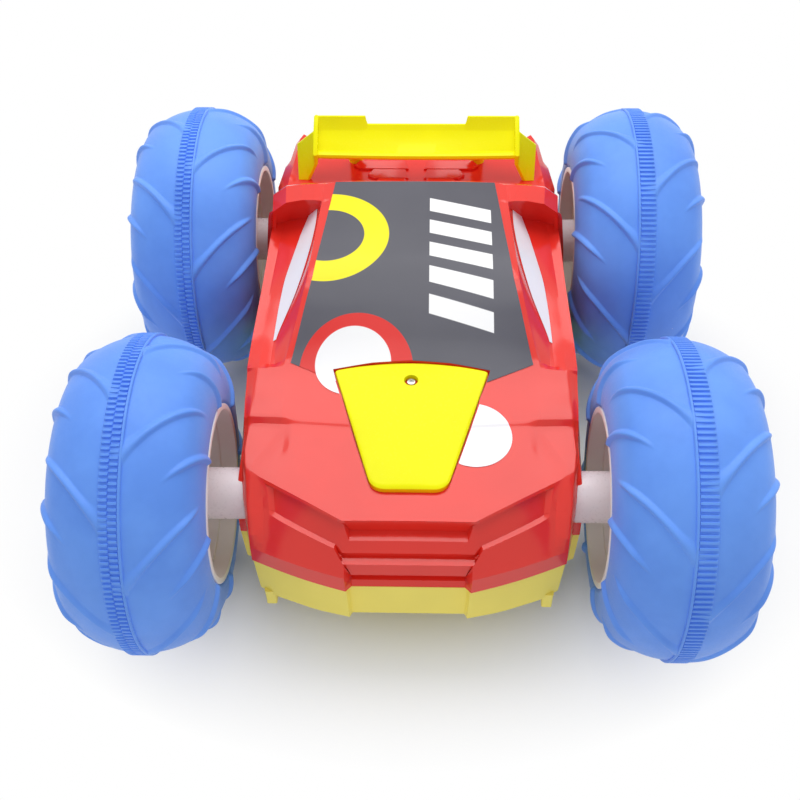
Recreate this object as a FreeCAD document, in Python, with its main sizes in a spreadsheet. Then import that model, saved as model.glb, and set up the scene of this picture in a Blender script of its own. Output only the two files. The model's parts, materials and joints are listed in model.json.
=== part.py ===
import FreeCAD, Part
import Sketcher
import math
import os

# Radio-controlled stunt car: a red two-part toy body on four balloon tyres.
# Millimetres, +Z up, the nose towards -Y. The origin lies on the floor in the
# middle of the car's footprint.

V = FreeCAD.Vector
doc = FreeCAD.newDocument("stunt_car")

# ---------------------------------------------------------------- sizes
SIZES = {
    # wheels
    "tyre_diameter": 110.0, "tyre_width": 49.8, "tyre_wall": 2.6,
    "shoulder_half": 20.0, "shoulder_drop": 7.2,
    "crown_radius": 31.4, "sidewall_radius": 19.6,
    "band_width": 6.8, "band_height": 0.8, "band_root": 0.2, "bead_height": 1.5,
    "wheel_track": 177.8, "wheel_base": 142.6, "wheel_clearance": 3.0,
    "rim_radius": 31.0, "rim_wall": 2.2, "rim_step_depth": 6.0, "rim_step": 1.0,
    "seat_gap": 0.05,
    "web_inset": 4.0, "web_thick": 2.6, "boss_radius": 6.5,
    "boss_inward": 7.0, "boss_outward": 9.0,
    "spoke_count": 5.0, "spoke_width": 5.0, "spoke_depth": 6.0, "spoke_root": 0.5,
    "cap_radius": 11.0, "cap_thick": 2.2, "cap_skirt": 4.0, "cap_gap": 0.1,
    "cap_headroom": 0.6, "cap_skirt_wall": 1.2, "cap_rim": 0.4, "cap_chamfer": 1.0,
    # axles and their sleeves
    "axle_radius": 2.0, "running_gap": 0.05, "bush_wall": 1.2, "bush_length": 5.0,
    "sleeve_radius": 8.9, "sleeve_wall": 1.6, "sleeve_end_gap": 2.0,
    "sleeve_plug": 10.0, "sleeve_nest": 14.0, "sleeve_notch_gap": 0.15,
    "axle_screw_head": 3.4, "axle_screw_thick": 1.6, "axle_end_gap": 0.2, "sleeve_core_gap": 0.5,
    # body shell
    "shell_wall": 2.0, "nose_half": 20.0, "lip_half": 22.8, "waist_y": 42.0,
    "screen_y": 28.5, "roof_front_y": 4.5, "roof_rear_y": 56.0, "roof_lip_y": 60.0,
    "back_foot_y": 68.0, "ear_y": 46.5, "ear_inner": 36.0,
    "grille_half": 18.0, "grille_slot": 2.2, "grille_pitch": 6.4, "grille_depth": 1.2,
    "grille_count": 3.0, "grille_drop": 2.4,
    # chassis
    "bumper_out": 2.2, "chassis_wall": 2.0, "leg_size": 3.6,
    "saddle_reach": 13.0, "saddle_width": 12.0,
    # assembly screws and their posts
    "post_radius": 4.0, "post_gap": 0.1, "screw_shank": 1.3, "screw_head": 2.3,
    "screw_head_thick": 1.8, "screw_length": 22.0, "pilot_gap": 0.05, "screw_clear": 0.3,
    "pilot_depth": 8.0, "recess_share": 0.6, "recess_half": 0.35,
    # battery door
    "door_rear_half": 27.0, "door_rear_y": 31.5, "door_bulge_radius": 127.0,
    "door_front_half": 12.6, "door_corner": 4.0,
    "door_thick": 1.8, "door_gap": 0.45, "ledge": 2.5, "ledge_thick": 1.6,
    "ledge_gap": 0.3, "tab_x": 6.0, "tab_width": 5.0, "tab_reach": 2.6,
    "tab_thick": 1.1, "tab_root": 1.6, "tab_slot_gap": 0.6, "tab_room": 5.0, "door_counterbore": 0.9,
    "door_screw_y": 36.2, "door_screw_length": 7.0, "door_hole": 2.75, "door_boss": 4.6,
    "door_boss_drop": 9.0, "well_gap": 0.4,
    # battery
    "cell_diameter": 14.2, "cell_length": 29.0, "wrap": 0.3, "pack_gap": 0.7,
    "tray_wall": 1.6, "tray_drop": 4.0, "pack_y": 51.0,
    "contact_thick": 0.5, "contact_width": 6.0, "contact_foot": 3.0, "contact_drop": 6.0,
    # drive
    "module": 0.5, "pinion_teeth": 10.0, "idler_teeth": 36.0, "idler_pinion_teeth": 12.0,
    "output_teeth": 48.0, "backlash": 0.14, "gear_thick": 4.0, "gear_space": 0.8,
    "addendum": 0.85, "dedendum": 1.25,
    "case_inner": 30.0, "case_wall": 1.8, "case_gap": 1.2, "idler_tilt": 20.0,
    "idler_pin": 1.25, "motor_radius": 10.0, "motor_length": 25.0, "motor_wall": 1.0,
    "motor_shaft": 1.0, "motor_boss": 3.0, "motor_boss_length": 1.4,
    "armature_radius": 7.6, "armature_length": 15.0,
    # electronics
    "board_half": 24.0, "board_front": 17.0, "board_rear": 21.0,
    "board_thick": 1.6, "board_post": 2.5, "board_post_x": 20.0,
    "chip_x": 1.0, "chip_y": -3.0, "chip_length": 14.0, "chip_width": 10.0, "chip_thick": 1.6,
    "relay_x": 15.0, "relay_y": 10.0, "relay_length": 10.0, "relay_width": 8.0,
    "relay_height": 9.0,
    "crystal_x": -11.5, "crystal_y": -5.0, "crystal_length": 5.0, "crystal_width": 10.0,
    "crystal_height": 3.0,
    "switch_x": 30.0, "switch_y": 8.0, "switch_length": 12.0, "switch_width": 6.0,
    "switch_height": 6.0, "knob_length": 4.0, "knob_width": 3.0, "knob_drop": 1.2,
    "switch_travel": 2.0, "knob_gap": 0.3, "switch_roof": 1.5,
    # wing and decals
    "wing_notch_half": 20.8, "wing_notch": 5.0, "wing_thick": 2.4, "plate_thick": 2.4,
    "strut_x": 26.0, "strut_radius": 3.0, "wing_foot_gap": 0.3,
    "wing_screw_length": 8.0, "wing_screw_gap": 0.2,
    "plate_lip": 2.0, "plate_nose": 4.0, "plate_tail": 5.0,
    "decal_thick": 0.3, "decal_gap": 0.02, "decal_step": 0.35, "decal_inset": 0.6,
    "panel_rear_half": 31.5, "panel_mid_half": 36.5,
    "panel_front_half": 41.5,
    "crescent_width": 2.0, "crescent_front": 10.0, "crescent_radius": 90.0,
    "crescent_inner_radius": 64.8, "crescent_end": 0.9, "crescent_gap": 0.03,
    "hood_disc_x": 25.0, "hood_disc_y": 58.5, "hood_disc_radius": 11.5,
}
# heights above the axles' centre line
LEVELS = {
    "belly_z": -31.0, "leg_z": -29.5, "bumper_z": -24.0, "parting_z": -11.0, "board_z": -11.0,
    "fascia_z": -4.0, "lip_z": 11.5, "hood_z": 21.2, "belt_z": 22.0, "deck_z": 24.0,
    "roof_front_z": 35.0, "roof_lip_z": 36.5, "roof_rear_z": 39.5, "cabin_foot_z": 19.2,
    "cabin_top_z": 41.5,
    "ear_z": 38.0, "wing_front_z": 34.5, "wing_rear_z": 43.0,
}
# distances beyond the front or rear axle, away from the middle of the car
OVERHANGS = {
    "nose_y": 32.3, "lip_y": 21.2, "corner_y": 20.1, "lip_corner_y": 0.2, "cheek_y": 8.1,
    "lip_cheek_y": -9.3, "rear_y": 8.7, "tail_corner_y": 35.7, "tail_y": 40.7,
    "belly_front": 14.7, "belly_rear": 22.7, "leg_y": 25.0, "post_front_y": -27.3,
    "post_rear_y": 22.7, "door_front_y": 8.2, "wing_front_y": 9.7, "wing_rear_y": 28.7,
    "plate_front": 7.7, "strut_y": 25.7,
}
# distances in from the body's widest side
INSETS = {
    "cheek_x": 2.4, "corner_x": 7.9, "lip_corner_x": 6.0, "rear_x": 4.0, "tail_corner_x": 9.0,
    "tail_x": 17.0, "cabin_foot": 9.0, "cabin_top": 24.5, "ear_x": 5.0, "leg_x": 13.6,
    "post_x": 17.0, "wing_half": 18.0, "plate_foot_x": 12.5, "plate_head_x": 10.7,
}

sheet = doc.addObject("Spreadsheet::Sheet", "Sizes")
for row, (name, number) in enumerate({**SIZES, **LEVELS, **OVERHANGS, **INSETS}.items(), 1):
    sheet.set("A%d" % row, name)
    sheet.set("B%d" % row, str(number))
    sheet.setAlias("B%d" % row, name)
doc.recompute()


class Size:
    """A length that carries its number and the sheet formula that gives it."""

    def __init__(self, value, formula):
        self.value = float(value)
        self.formula = formula

    def __add__(self, other):
        other = size(other)
        return Size(self.value + other.value, "(%s + %s)" % (self.formula, other.formula))

    def __sub__(self, other):
        return self + size(other) * -1

    def __mul__(self, other):
        other = size(other)
        return Size(self.value * other.value, "(%s * %s)" % (self.formula, other.formula))

    def __truediv__(self, other):
        other = size(other)
        return Size(self.value / other.value, "(%s / %s)" % (self.formula, other.formula))

    def __neg__(self):
        return self * -1

    def __radd__(self, other):
        return size(other) + self

    def __rsub__(self, other):
        return size(other) - self

    __rmul__ = __mul__


def size(thing):
    """Turn a number, or a Size, into a Size."""
    return thing if isinstance(thing, Size) else Size(thing, repr(float(thing)))


def cell(name):
    return Size(sheet.get(name), "Sizes." + name)


class Sizes:
    """Every driving dimension by name, as a Size bound to its cell.

    Levels are counted from the axles' height, overhangs from the axles' lines and
    insets from the body's side, so the body keeps its fit to the wheels.
    """

    def __init__(self):
        for name in SIZES:
            setattr(self, name, cell(name))
        self.body_half = (self.wheel_track - self.tyre_width) / 2 - self.wheel_clearance
        for name in LEVELS:
            setattr(self, name, self.tyre_diameter / 2 + cell(name))
        for name in OVERHANGS:
            setattr(self, name, self.wheel_base / 2 + cell(name))
        for name in INSETS:
            setattr(self, name, self.body_half - cell(name))


s = Sizes()
HALF = s.tyre_width / 2
TYRE_R = s.tyre_diameter / 2
AXLE_Z = TYRE_R
TRACK = s.wheel_track / 2
BASE = s.wheel_base / 2
FAR = 300.0     # longer than the car
PAST = 1.0      # how far a cutting tool reaches past the face it cuts
ROOT = 0.5      # how far a post or rib is rooted in the wall that carries it
FLOOR = s.belly_z + s.chassis_wall
CORNERS = {"front_left": (-1, -1), "front_right": (1, -1), "rear_left": (-1, 1), "rear_right": (1, 1)}
nodes = {}


# ---------------------------------------------------------------- helpers
def bind(obj, prop, length):
    obj.setExpression(prop, size(length).formula)


def keep(label, obj):
    """File an object as one of the car's nodes."""
    obj.Label = label
    nodes[label] = obj
    return obj


TURN = {"X": FreeCAD.Rotation(V(0, 1, 0), 90), "Y": FreeCAD.Rotation(V(1, 0, 0), -90),
        "Z": FreeCAD.Rotation()}


def stand(obj, x, y, z, turn=FreeCAD.Rotation()):
    obj.Placement = FreeCAD.Placement(V(size(x).value, size(y).value, size(z).value), turn)
    for name, length in zip("xyz", (x, y, z)):
        bind(obj, "Placement.Base." + name, length)
    return obj


def rod(axis, radius, start, end, across=0, up=0):
    """Cylinder along an axis from start to end; across and up place it, in XYZ order."""
    obj = doc.addObject("Part::Cylinder", "Rod")
    bind(obj, "Radius", radius)
    bind(obj, "Height", size(end) - start)
    place = {"X": (start, across, up), "Y": (across, start, up), "Z": (across, up, start)}
    return stand(obj, *place[axis], TURN[axis])


def block(x0, x1, y0, y1, z0, z1):
    obj = doc.addObject("Part::Box", "Block")
    bind(obj, "Length", size(x1) - x0)
    bind(obj, "Width", size(y1) - y0)
    bind(obj, "Height", size(z1) - z0)
    return stand(obj, x0, y0, z0)


def mirrored_block(side, x0, x1, y0, y1, z0, z1):
    """A block between two distances from the car's middle plane, on one side."""
    if side > 0:
        return block(x0, x1, y0, y1, z0, z1)
    return block(-size(x1), -size(x0), y0, y1, z0, z1)


def side_rod(side, radius, x0, x1, y, z):
    """A cylinder along X between two distances from the car's middle plane."""
    if side > 0:
        return rod("X", radius, x0, x1, y, z)
    return rod("X", radius, -size(x1), -size(x0), y, z)


def join(*things):
    obj = doc.addObject("Part::MultiFuse", "Join")
    obj.Shapes = list(things)
    return obj


def meet(*things):
    obj = doc.addObject("Part::MultiCommon", "Meet")
    obj.Shapes = list(things)
    return obj


def cut(base, *tools):
    obj = doc.addObject("Part::Cut", "Cut")
    obj.Base = base
    obj.Tool = tools[0] if len(tools) == 1 else join(*tools)
    return obj


def group(*things):
    obj = doc.addObject("Part::Compound", "Group")
    obj.Links = list(things)
    return obj


def outline(body, plane, points, offset, arcs=None):
    """Closed outline on one of a body's origin planes, each corner bound to the sheet.

    arcs gives an edge's radius by its number: positive turns left, negative right.
    """
    arcs = arcs or {}
    sketch = body.newObject("Sketcher::SketchObject", "Outline")
    support = [item for item in body.Origin.OriginFeatures if item.Role == plane][0]
    sketch.AttachmentSupport = [(support, "")]
    sketch.MapMode = "FlatFace"
    bind(sketch, "AttachmentOffset.Base.z", offset)
    corners = [(size(a), size(b)) for a, b in points]
    count = len(corners)
    first, last = [], []
    for edge in range(count):
        a = V(corners[edge][0].value, corners[edge][1].value, 0)
        b = V(corners[(edge + 1) % count][0].value, corners[(edge + 1) % count][1].value, 0)
        if edge not in arcs:
            sketch.addGeometry(Part.LineSegment(a, b), False)
            first.append(1)
            last.append(2)
            continue
        radius = size(arcs[edge])
        left = radius.value > 0
        chord = b - a
        rise = math.sqrt(max(radius.value ** 2 - (chord.Length / 2) ** 2, 0.0))
        normal = V(-chord.y, chord.x, 0).normalize() * (rise if left else -rise)
        centre = (a + b) * 0.5 + normal
        start, end = (a, b) if left else (b, a)
        angles = [math.atan2(p.y - centre.y, p.x - centre.x) for p in (start, end)]
        circle = Part.Circle(centre, V(0, 0, 1), abs(radius.value))
        sketch.addGeometry(Part.ArcOfCircle(circle, angles[0], angles[1]), False)
        first.append(1 if left else 2)
        last.append(2 if left else 1)
    for edge in range(count):
        after = (edge + 1) % count
        sketch.addConstraint(
            Sketcher.Constraint("Coincident", edge, last[edge], after, first[after]))
    for edge, (across, up) in enumerate(corners):
        for letter, kind, length in (("x", "DistanceX", across), ("y", "DistanceY", up)):
            number = sketch.addConstraint(
                Sketcher.Constraint(kind, -1, 1, edge, first[edge], length.value))
            sketch.renameConstraint(number, "%s%d" % (letter, edge))
            sketch.setExpression("Constraints.%s%d" % (letter, edge), length.formula)
    for edge, radius in arcs.items():
        radius = size(radius) if size(radius).value > 0 else -size(radius)
        number = sketch.addConstraint(Sketcher.Constraint("Radius", edge, radius.value))
        sketch.renameConstraint(number, "r%d" % edge)
        sketch.setExpression("Constraints.r%d" % edge, radius.formula)
    return sketch


def prism(plane, points, start, end, arcs=None):
    """Body padded from an outline, between two distances along the plane's world axis."""
    body = doc.addObject("PartDesign::Body", "Prism")
    sketch = outline(body, plane, points, -size(end) if plane == "XZ_Plane" else start, arcs)
    pad = body.newObject("PartDesign::Pad", "Pad")
    pad.Profile = sketch
    bind(pad, "Length", size(end) - start)
    sketch.Visibility = False
    return body


def lathe(side, points, y, z, arcs=None):
    """Body revolved about a wheel axis; points are (distance from the middle plane, radius)."""
    body = doc.addObject("PartDesign::Body", "Lathe")
    arcs = arcs or {}
    if side < 0:
        points = [(-size(a), b) for a, b in points]
        arcs = {edge: -size(radius) for edge, radius in arcs.items()}
    sketch = outline(body, "XY_Plane", points, 0, arcs)
    turn = body.newObject("PartDesign::Revolution", "Turn")
    turn.Profile = sketch
    axis = [item for item in body.Origin.OriginFeatures if item.Role == "X_Axis"][0]
    turn.ReferenceAxis = (axis, [""])
    turn.Angle = 360.0
    return stand(body, 0, y, z)


def loft(levels):
    """Body lofted in straight rulings through outlines at rising heights."""
    body = doc.addObject("PartDesign::Body", "Hull")
    sketches = [outline(body, "XY_Plane", points, z) for z, points in levels]
    skin = body.newObject("PartDesign::AdditiveLoft", "Loft")
    skin.Profile = sketches[0]
    skin.Sections = sketches[1:]
    skin.Ruled = True
    return body


def both_sides(half):
    """Close an outline given as its +X half, front to back."""
    return list(half) + [(-size(x), y) for x, y in reversed(half)]


# ---------------------------------------------------------------- upper shell
def hull_outline(level, inset):
    """Plan of the body at the parting, the fascia or the hood lip, moved in by inset."""
    high = level == "lip"
    nose = (s.lip_half, s.lip_y) if high else (s.nose_half, s.nose_y)
    corner = (s.lip_corner_x, s.lip_corner_y) if high else (s.corner_x, s.corner_y)
    cheek_y = s.lip_cheek_y if high else s.cheek_y
    return both_sides([
        (nose[0], -nose[1] + inset),
        (corner[0] - inset, -corner[1] + inset),
        (s.cheek_x - inset, -cheek_y + inset),
        (s.body_half - inset, -s.waist_y),
        (s.body_half - inset, s.waist_y),
        (s.rear_x - inset, s.rear_y),
        (s.tail_corner_x - inset, s.tail_corner_y - inset),
        (s.tail_x - inset, s.tail_y - inset)])


def hull(inset, bottom):
    """Lower body below hood, belt and deck: a loft whose top the side view trims."""
    rising = loft([(s.parting_z, hull_outline("parting", inset)),
                   (s.fascia_z, hull_outline("fascia", inset)),
                   (s.lip_z, hull_outline("lip", inset)),
                   (s.cabin_top_z, hull_outline("lip", inset))])
    side = prism("YZ_Plane", [
        (-s.nose_y - PAST, bottom), (-s.nose_y - PAST, s.fascia_z),
        (-s.lip_y, s.lip_z - inset), (-s.screen_y, s.hood_z - inset),
        (s.back_foot_y, s.belt_z - inset), (s.tail_y - 1, s.deck_z - inset),
        (s.tail_y + PAST, s.fascia_z), (s.tail_y + PAST, bottom)],
        -s.body_half - PAST, s.body_half + PAST)
    return meet(rising, side)


def cabin(inset):
    """Windscreen, roof and back, with sides that lean in."""
    side = prism("YZ_Plane", [
        (-s.screen_y + inset, s.cabin_foot_z - inset), (-s.screen_y + inset, s.hood_z - inset),
        (s.roof_front_y, s.roof_front_z - inset), (s.roof_rear_y, s.roof_rear_z - inset),
        (s.roof_lip_y - inset, s.roof_lip_z - inset),
        (s.back_foot_y - inset, s.cabin_foot_z - inset)], -s.body_half, s.body_half)
    front = prism("XZ_Plane", both_sides([
        (s.cabin_foot - inset, s.lip_z), (s.cabin_foot - inset, s.cabin_foot_z),
        (s.cabin_top - inset, s.cabin_top_z)]), -s.screen_y - PAST, s.back_foot_y + PAST)
    return meet(side, front)


def ear(side, inset):
    """Pillar block that carries the roof's rear corner out over the wheel side."""
    x = (s.ear_inner, s.ear_x - inset)
    return mirrored_block(side, x[0], x[1], s.ear_y + inset, s.roof_lip_y - PAST - inset,
                          s.lip_z, s.ear_z - inset)


def door_outline(grow):
    """Battery door in plan: bowed rear edge, tapering sides, rounded front corners."""
    rear, front = s.door_rear_half + grow, s.door_front_half + grow
    lean = (s.door_rear_half - s.door_front_half) / (s.door_front_y - s.door_rear_y)
    points = [(-rear, -s.door_rear_y + grow),
              (-front - s.door_corner * lean, -s.door_front_y - grow + s.door_corner),
              (-front + s.door_corner, -s.door_front_y - grow),
              (front - s.door_corner, -s.door_front_y - grow),
              (front + s.door_corner * lean, -s.door_front_y - grow + s.door_corner),
              (rear, -s.door_rear_y + grow)]
    arcs = {1: s.door_corner * 1.16, 3: s.door_corner * 1.16, 5: s.door_bulge_radius}
    return points, arcs


def hood_strip(top, bottom):
    """Slab that follows the hood between two depths below its surface."""
    rear_z = hood_height(0)
    return prism("YZ_Plane", [
        (-s.lip_y, s.lip_z - bottom), (0, rear_z - bottom),
        (0, rear_z - top), (-s.lip_y, s.lip_z - top)], -s.body_half, s.body_half)


def hood_height(y):
    """Height of the hood surface at a distance y in front of the middle."""
    slope = (s.hood_z - s.lip_z) / (s.lip_y - s.screen_y)
    return s.hood_z - slope * (size(y) - s.screen_y)


def sleeve_notch(side, end):
    """Arch in the shell's lower edge that drops over an axle sleeve."""
    radius = s.sleeve_radius + s.sleeve_notch_gap
    y = BASE * end
    x0, x1 = s.body_half - s.sleeve_nest, s.body_half + PAST
    return join(side_rod(side, radius, x0, x1, y, AXLE_Z),
                mirrored_block(side, x0, x1, y - radius, y + radius, s.parting_z - PAST, AXLE_Z))


def post_places():
    return [(side * s.post_x, y) for side in (-1, 1) for y in (-s.post_front_y, s.post_rear_y)]


def upper_shell():
    outer = join(hull(0, s.parting_z), cabin(0), ear(-1, 0), ear(1, 0))
    wall = s.shell_wall
    inner = join(hull(wall, s.parting_z - 1), cabin(wall), ear(-1, wall), ear(1, wall))
    posts = join(*[rod("Z", s.post_radius, s.parting_z + s.post_gap, s.cabin_top_z, x, y)
                   for x, y in post_places()])
    depth = s.door_thick + s.ledge_gap
    ledge_bottom = depth + s.ledge_thick
    frame_points, frame_arcs = door_outline(s.door_gap + wall)
    frame_block = meet(prism("XY_Plane", frame_points, s.parting_z, s.deck_z, frame_arcs),
                       hood_strip(s.decal_gap, ledge_bottom), outer)
    boss = meet(rod("Z", s.door_boss, hood_height(s.door_screw_y) - s.door_boss_drop,
                    s.hood_z, 0, -s.door_screw_y), hood_strip(depth, s.door_boss_drop * 2))
    solid = join(cut(outer, inner), meet(posts, outer), frame_block, boss)
    seat_points, seat_arcs = door_outline(s.door_gap)
    seat = meet(prism("XY_Plane", seat_points, s.parting_z, s.deck_z, seat_arcs),
                hood_strip(-s.door_thick, depth))
    well_points, well_arcs = door_outline(-s.ledge)
    well_rear = s.door_screw_y + s.door_boss + s.well_gap
    well = meet(prism("XY_Plane", well_points, AXLE_Z, s.deck_z, well_arcs),
                block(-s.body_half, s.body_half, -s.door_front_y - PAST, -well_rear,
                      AXLE_Z, s.deck_z))
    tools = [seat, well]
    tools += [rod("Z", s.door_hole, s.parting_z, s.deck_z, 0, -s.door_screw_y)]
    tools += [tab_slot(side) for side in (-1, 1)]
    tools += [sleeve_notch(side, end) for side in (-1, 1) for end in (-1, 1)]
    tools += [rod("Z", s.screw_shank + s.pilot_gap, s.parting_z - PAST,
                  FLOOR + s.screw_length + s.pilot_depth, x, y) for x, y in post_places()]
    rake = (s.nose_y - s.lip_y) / (s.lip_z - s.fascia_z)
    for slot in range(int(s.grille_count.value)):
        rise = slot * s.grille_pitch
        face = -s.nose_y + (rise - s.grille_drop) * rake if slot else -s.nose_y
        low = s.fascia_z - s.grille_drop + rise
        tools.append(block(-s.grille_half, s.grille_half, -s.nose_y - PAST * 2,
                           face + s.grille_depth, low, low + s.grille_slot))
    tools += [rod("Z", s.screw_shank + s.pilot_gap, s.lip_z, s.deck_z + PAST,
                  side * s.strut_x, s.strut_y) for side in (-1, 1)]
    keep("upper_shell", cut(solid, *tools))


def tab_slot(side):
    """Window in the door's front ledge that a tongue reaches through, and its room under the lip."""
    gap = s.tab_slot_gap
    z = hood_height(s.door_front_y) - s.door_thick
    x0, x1 = side * s.tab_x - s.tab_width / 2 - gap, side * s.tab_x + s.tab_width / 2 + gap
    low = z - s.tab_thick - s.tab_room
    return join(block(x0, x1, -s.door_front_y - s.tab_reach - gap * 2, -s.door_front_y, low,
                      z - s.ledge_gap + s.cap_gap),
                block(x0, x1, -s.door_front_y - s.door_gap / 2, -s.door_front_y + s.ledge + gap, low,
                      z + gap))


def battery_door():
    points, arcs = door_outline(0)
    plate = meet(prism("XY_Plane", points, s.parting_z, s.deck_z, arcs),
                 hood_strip(0, s.door_thick))
    z = hood_height(s.door_front_y) - s.door_thick
    tongues = []
    for side in (-1, 1):
        x0 = side * s.tab_x - s.tab_width / 2
        tongues.append(block(x0, x0 + s.tab_width, -s.door_front_y - s.tab_reach,
                             -s.door_front_y + s.tab_root, z - s.ledge_gap - s.tab_thick,
                             z - s.ledge_gap))
        tongues.append(block(x0, x0 + s.tab_width, -s.door_front_y, -s.door_front_y + s.tab_root,
                             z - s.ledge_gap - s.tab_thick, z + ROOT))
    face = hood_height(s.door_screw_y)
    solid = cut(join(plate, *tongues),
                rod("Z", s.screw_shank + s.pilot_gap, s.parting_z, s.deck_z, 0, -s.door_screw_y),
                rod("Z", s.door_hole, face - s.door_counterbore, s.deck_z, 0, -s.door_screw_y))
    keep("battery_door", solid)
    keep("door_screw", screw(0, -s.door_screw_y, face - s.door_counterbore, 1, s.door_screw_length))


def screw(x, y, seat, up, length):
    """Pan-head screw: head beyond its seat, shank the other way, cross recess in the head."""
    x, y, seat = size(x), size(y), size(seat)
    head_end = seat + s.screw_head_thick * up
    tip = seat - size(length) * up
    low, high = (seat, head_end) if up > 0 else (head_end, seat)
    head = rod("Z", s.screw_head, low, high, x, y)
    low, high = (tip, seat) if up > 0 else (seat, tip)
    shank = rod("Z", s.screw_shank, low, high, x, y)
    deep, wide = s.screw_head_thick * s.recess_share, s.screw_head * s.recess_share
    slim = s.recess_half
    z0, z1 = (head_end - deep, head_end + PAST) if up > 0 else (head_end - PAST, head_end + deep)
    slots = [block(x - wide, x + wide, y - slim, y + slim, z0, z1),
             block(x - slim, x + slim, y - wide, y + wide, z0, z1)]
    return cut(join(head, shank), *slots)


# ---------------------------------------------------------------- chassis
def tub(inset):
    """Yellow lower body: plan of the parting line trimmed by the bumper's side view."""
    top = s.parting_z + (PAST if inset else 0)
    plan = prism("XY_Plane", both_sides([
        (s.nose_half, -s.nose_y - s.bumper_out + inset),
        (s.corner_x - inset, -s.corner_y - s.bumper_out + inset),
        (s.cheek_x - inset, -s.cheek_y + inset), (s.body_half - inset, -s.waist_y),
        (s.body_half - inset, s.waist_y), (s.rear_x - inset, s.rear_y),
        (s.tail_corner_x - inset, s.tail_corner_y - inset), (s.tail_x - inset, s.tail_y - inset)]),
        s.belly_z - PAST, top)
    side = prism("YZ_Plane", [
        (-s.nose_y, top), (-s.nose_y - s.bumper_out, s.bumper_z + inset),
        (-s.belly_front, s.belly_z + inset), (s.belly_rear, s.belly_z + inset),
        (s.tail_y + PAST, s.bumper_z + inset), (s.tail_y + PAST, top)],
        -s.body_half - PAST, s.body_half + PAST)
    return meet(plan, side)


def lower_chassis():
    wall = s.chassis_wall
    root = FLOOR - ROOT
    parts = [cut(tub(0), tub(wall))]
    for x, y in post_places():
        parts.append(rod("Z", s.post_radius, root, s.parting_z, x, y))
    for side in (-1, 1):
        for end in (-1, 1):
            y = BASE * end
            saddle = mirrored_block(side, s.body_half - s.saddle_reach, s.body_half - wall * 3,
                                    y - s.saddle_width / 2, y + s.saddle_width / 2,
                                    root, AXLE_Z - s.sleeve_radius / 2)
            seat = side_rod(side, s.sleeve_radius + s.running_gap, s.body_half - s.sleeve_nest,
                            s.body_half + PAST, y, AXLE_Z)
            parts.append(cut(saddle, seat))
        parts.append(block(side * s.leg_x - s.leg_size / 2, side * s.leg_x + s.leg_size / 2,
                           -s.leg_y, -s.leg_y + s.leg_size, s.leg_z, s.bumper_z + s.chassis_wall / 2))
        for y in (-s.board_front + s.board_post * 1.4, s.board_rear - s.board_post * 1.4):
            parts.append(rod("Z", s.board_post, root, s.board_z,
                             side * s.board_post_x, y))
        for y in case_feet():
            parts.append(rod("Z", s.post_radius, root, case_box()[2],
                             side * (s.case_inner + case_depth() / 2), y))
    tools = []
    seat = FLOOR + s.screw_head_thick
    feet = [(side * (s.case_inner + case_depth() / 2), y) for side in (-1, 1) for y in case_feet()]
    for x, y in post_places() + feet:
        tools.append(rod("Z", s.screw_shank + s.screw_clear, s.belly_z - PAST, s.parting_z + PAST, x, y))
        tools.append(rod("Z", s.screw_head + s.screw_clear, s.belly_z - PAST, seat, x, y))
    slot = s.switch_travel + s.knob_length / 2 + s.knob_gap
    tools.append(block(-s.switch_x - s.knob_width / 2 - s.knob_gap,
                       -s.switch_x + s.knob_width / 2 + s.knob_gap,
                       s.switch_y - slot, s.switch_y + slot, s.belly_z - PAST, FLOOR + PAST))
    keep("lower_chassis", cut(join(*parts), *tools))
    keep("chassis_screws", group(*[screw(x, y, seat, -1, s.screw_length) for x, y in post_places()]))
    reach = case_box()[2] - seat + s.case_wall
    keep("gearbox_screws", group(*[screw(x, y, seat, -1, reach) for x, y in feet]))


# ---------------------------------------------------------------- drive
def gear_centres():
    """Axle, idler and motor centres in the YZ plane."""
    tilt = math.radians(s.idler_tilt.value)
    output = (BASE, AXLE_Z)
    reach = (s.output_teeth + s.idler_pinion_teeth) * s.module / 2
    idler = (output[0] - reach * math.cos(tilt), output[1] - reach * math.sin(tilt))
    motor = (idler[0] - (s.idler_teeth + s.pinion_teeth) * s.module / 2, idler[1])
    return output, idler, motor


def case_depth():
    return s.case_wall * 2 + s.gear_thick * 2 + s.gear_space * 3


def case_box():
    """Outer faces of a gearbox case: y0, y1, z0, z1."""
    output, idler, motor = gear_centres()
    big = (s.output_teeth / 2 + s.addendum) * s.module + s.case_gap + s.case_wall
    mid = (s.idler_teeth / 2 + s.addendum) * s.module + s.case_gap + s.case_wall
    return (motor[0] - s.motor_boss - s.case_gap - s.case_wall, output[0] + big,
            idler[1] - mid, output[1] + big)


def case_feet():
    y0, y1 = case_box()[:2]
    return [y0 + s.post_radius, y1 - s.post_radius]


def gear_face(teeth, phase):
    """Involute gear outline as a face in the YZ plane, centred on the X axis.

    Each flank is sampled on the involute of a 20 degree pressure angle.
    """
    pressure = math.radians(20)
    unit = s.module.value
    pitch = unit * teeth / 2
    base = pitch * math.cos(pressure)
    tip = pitch + s.addendum.value * unit
    root = pitch - s.dedendum.value * unit

    def involute(angle):
        return math.tan(angle) - angle

    half = math.pi / (2 * teeth) - s.backlash.value / (2 * pitch) + involute(pressure)
    low = max(root, base)
    radii = ([root] if root < base else []) + [low + (tip - low) * k / 4 for k in range(5)]
    points = []
    for tooth in range(teeth):
        middle = phase + 2 * math.pi * tooth / teeth
        spread = [half - involute(math.acos(min(1, base / r)) if r > base else 0) for r in radii]
        flank = list(zip(radii, spread))
        points += [V(0, r * math.cos(middle - w), r * math.sin(middle - w)) for r, w in flank]
        points += [V(0, r * math.cos(middle + w), r * math.sin(middle + w))
                   for r, w in reversed(flank)]
    return Part.Face(Part.makePolygon(points + points[:1]))


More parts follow.
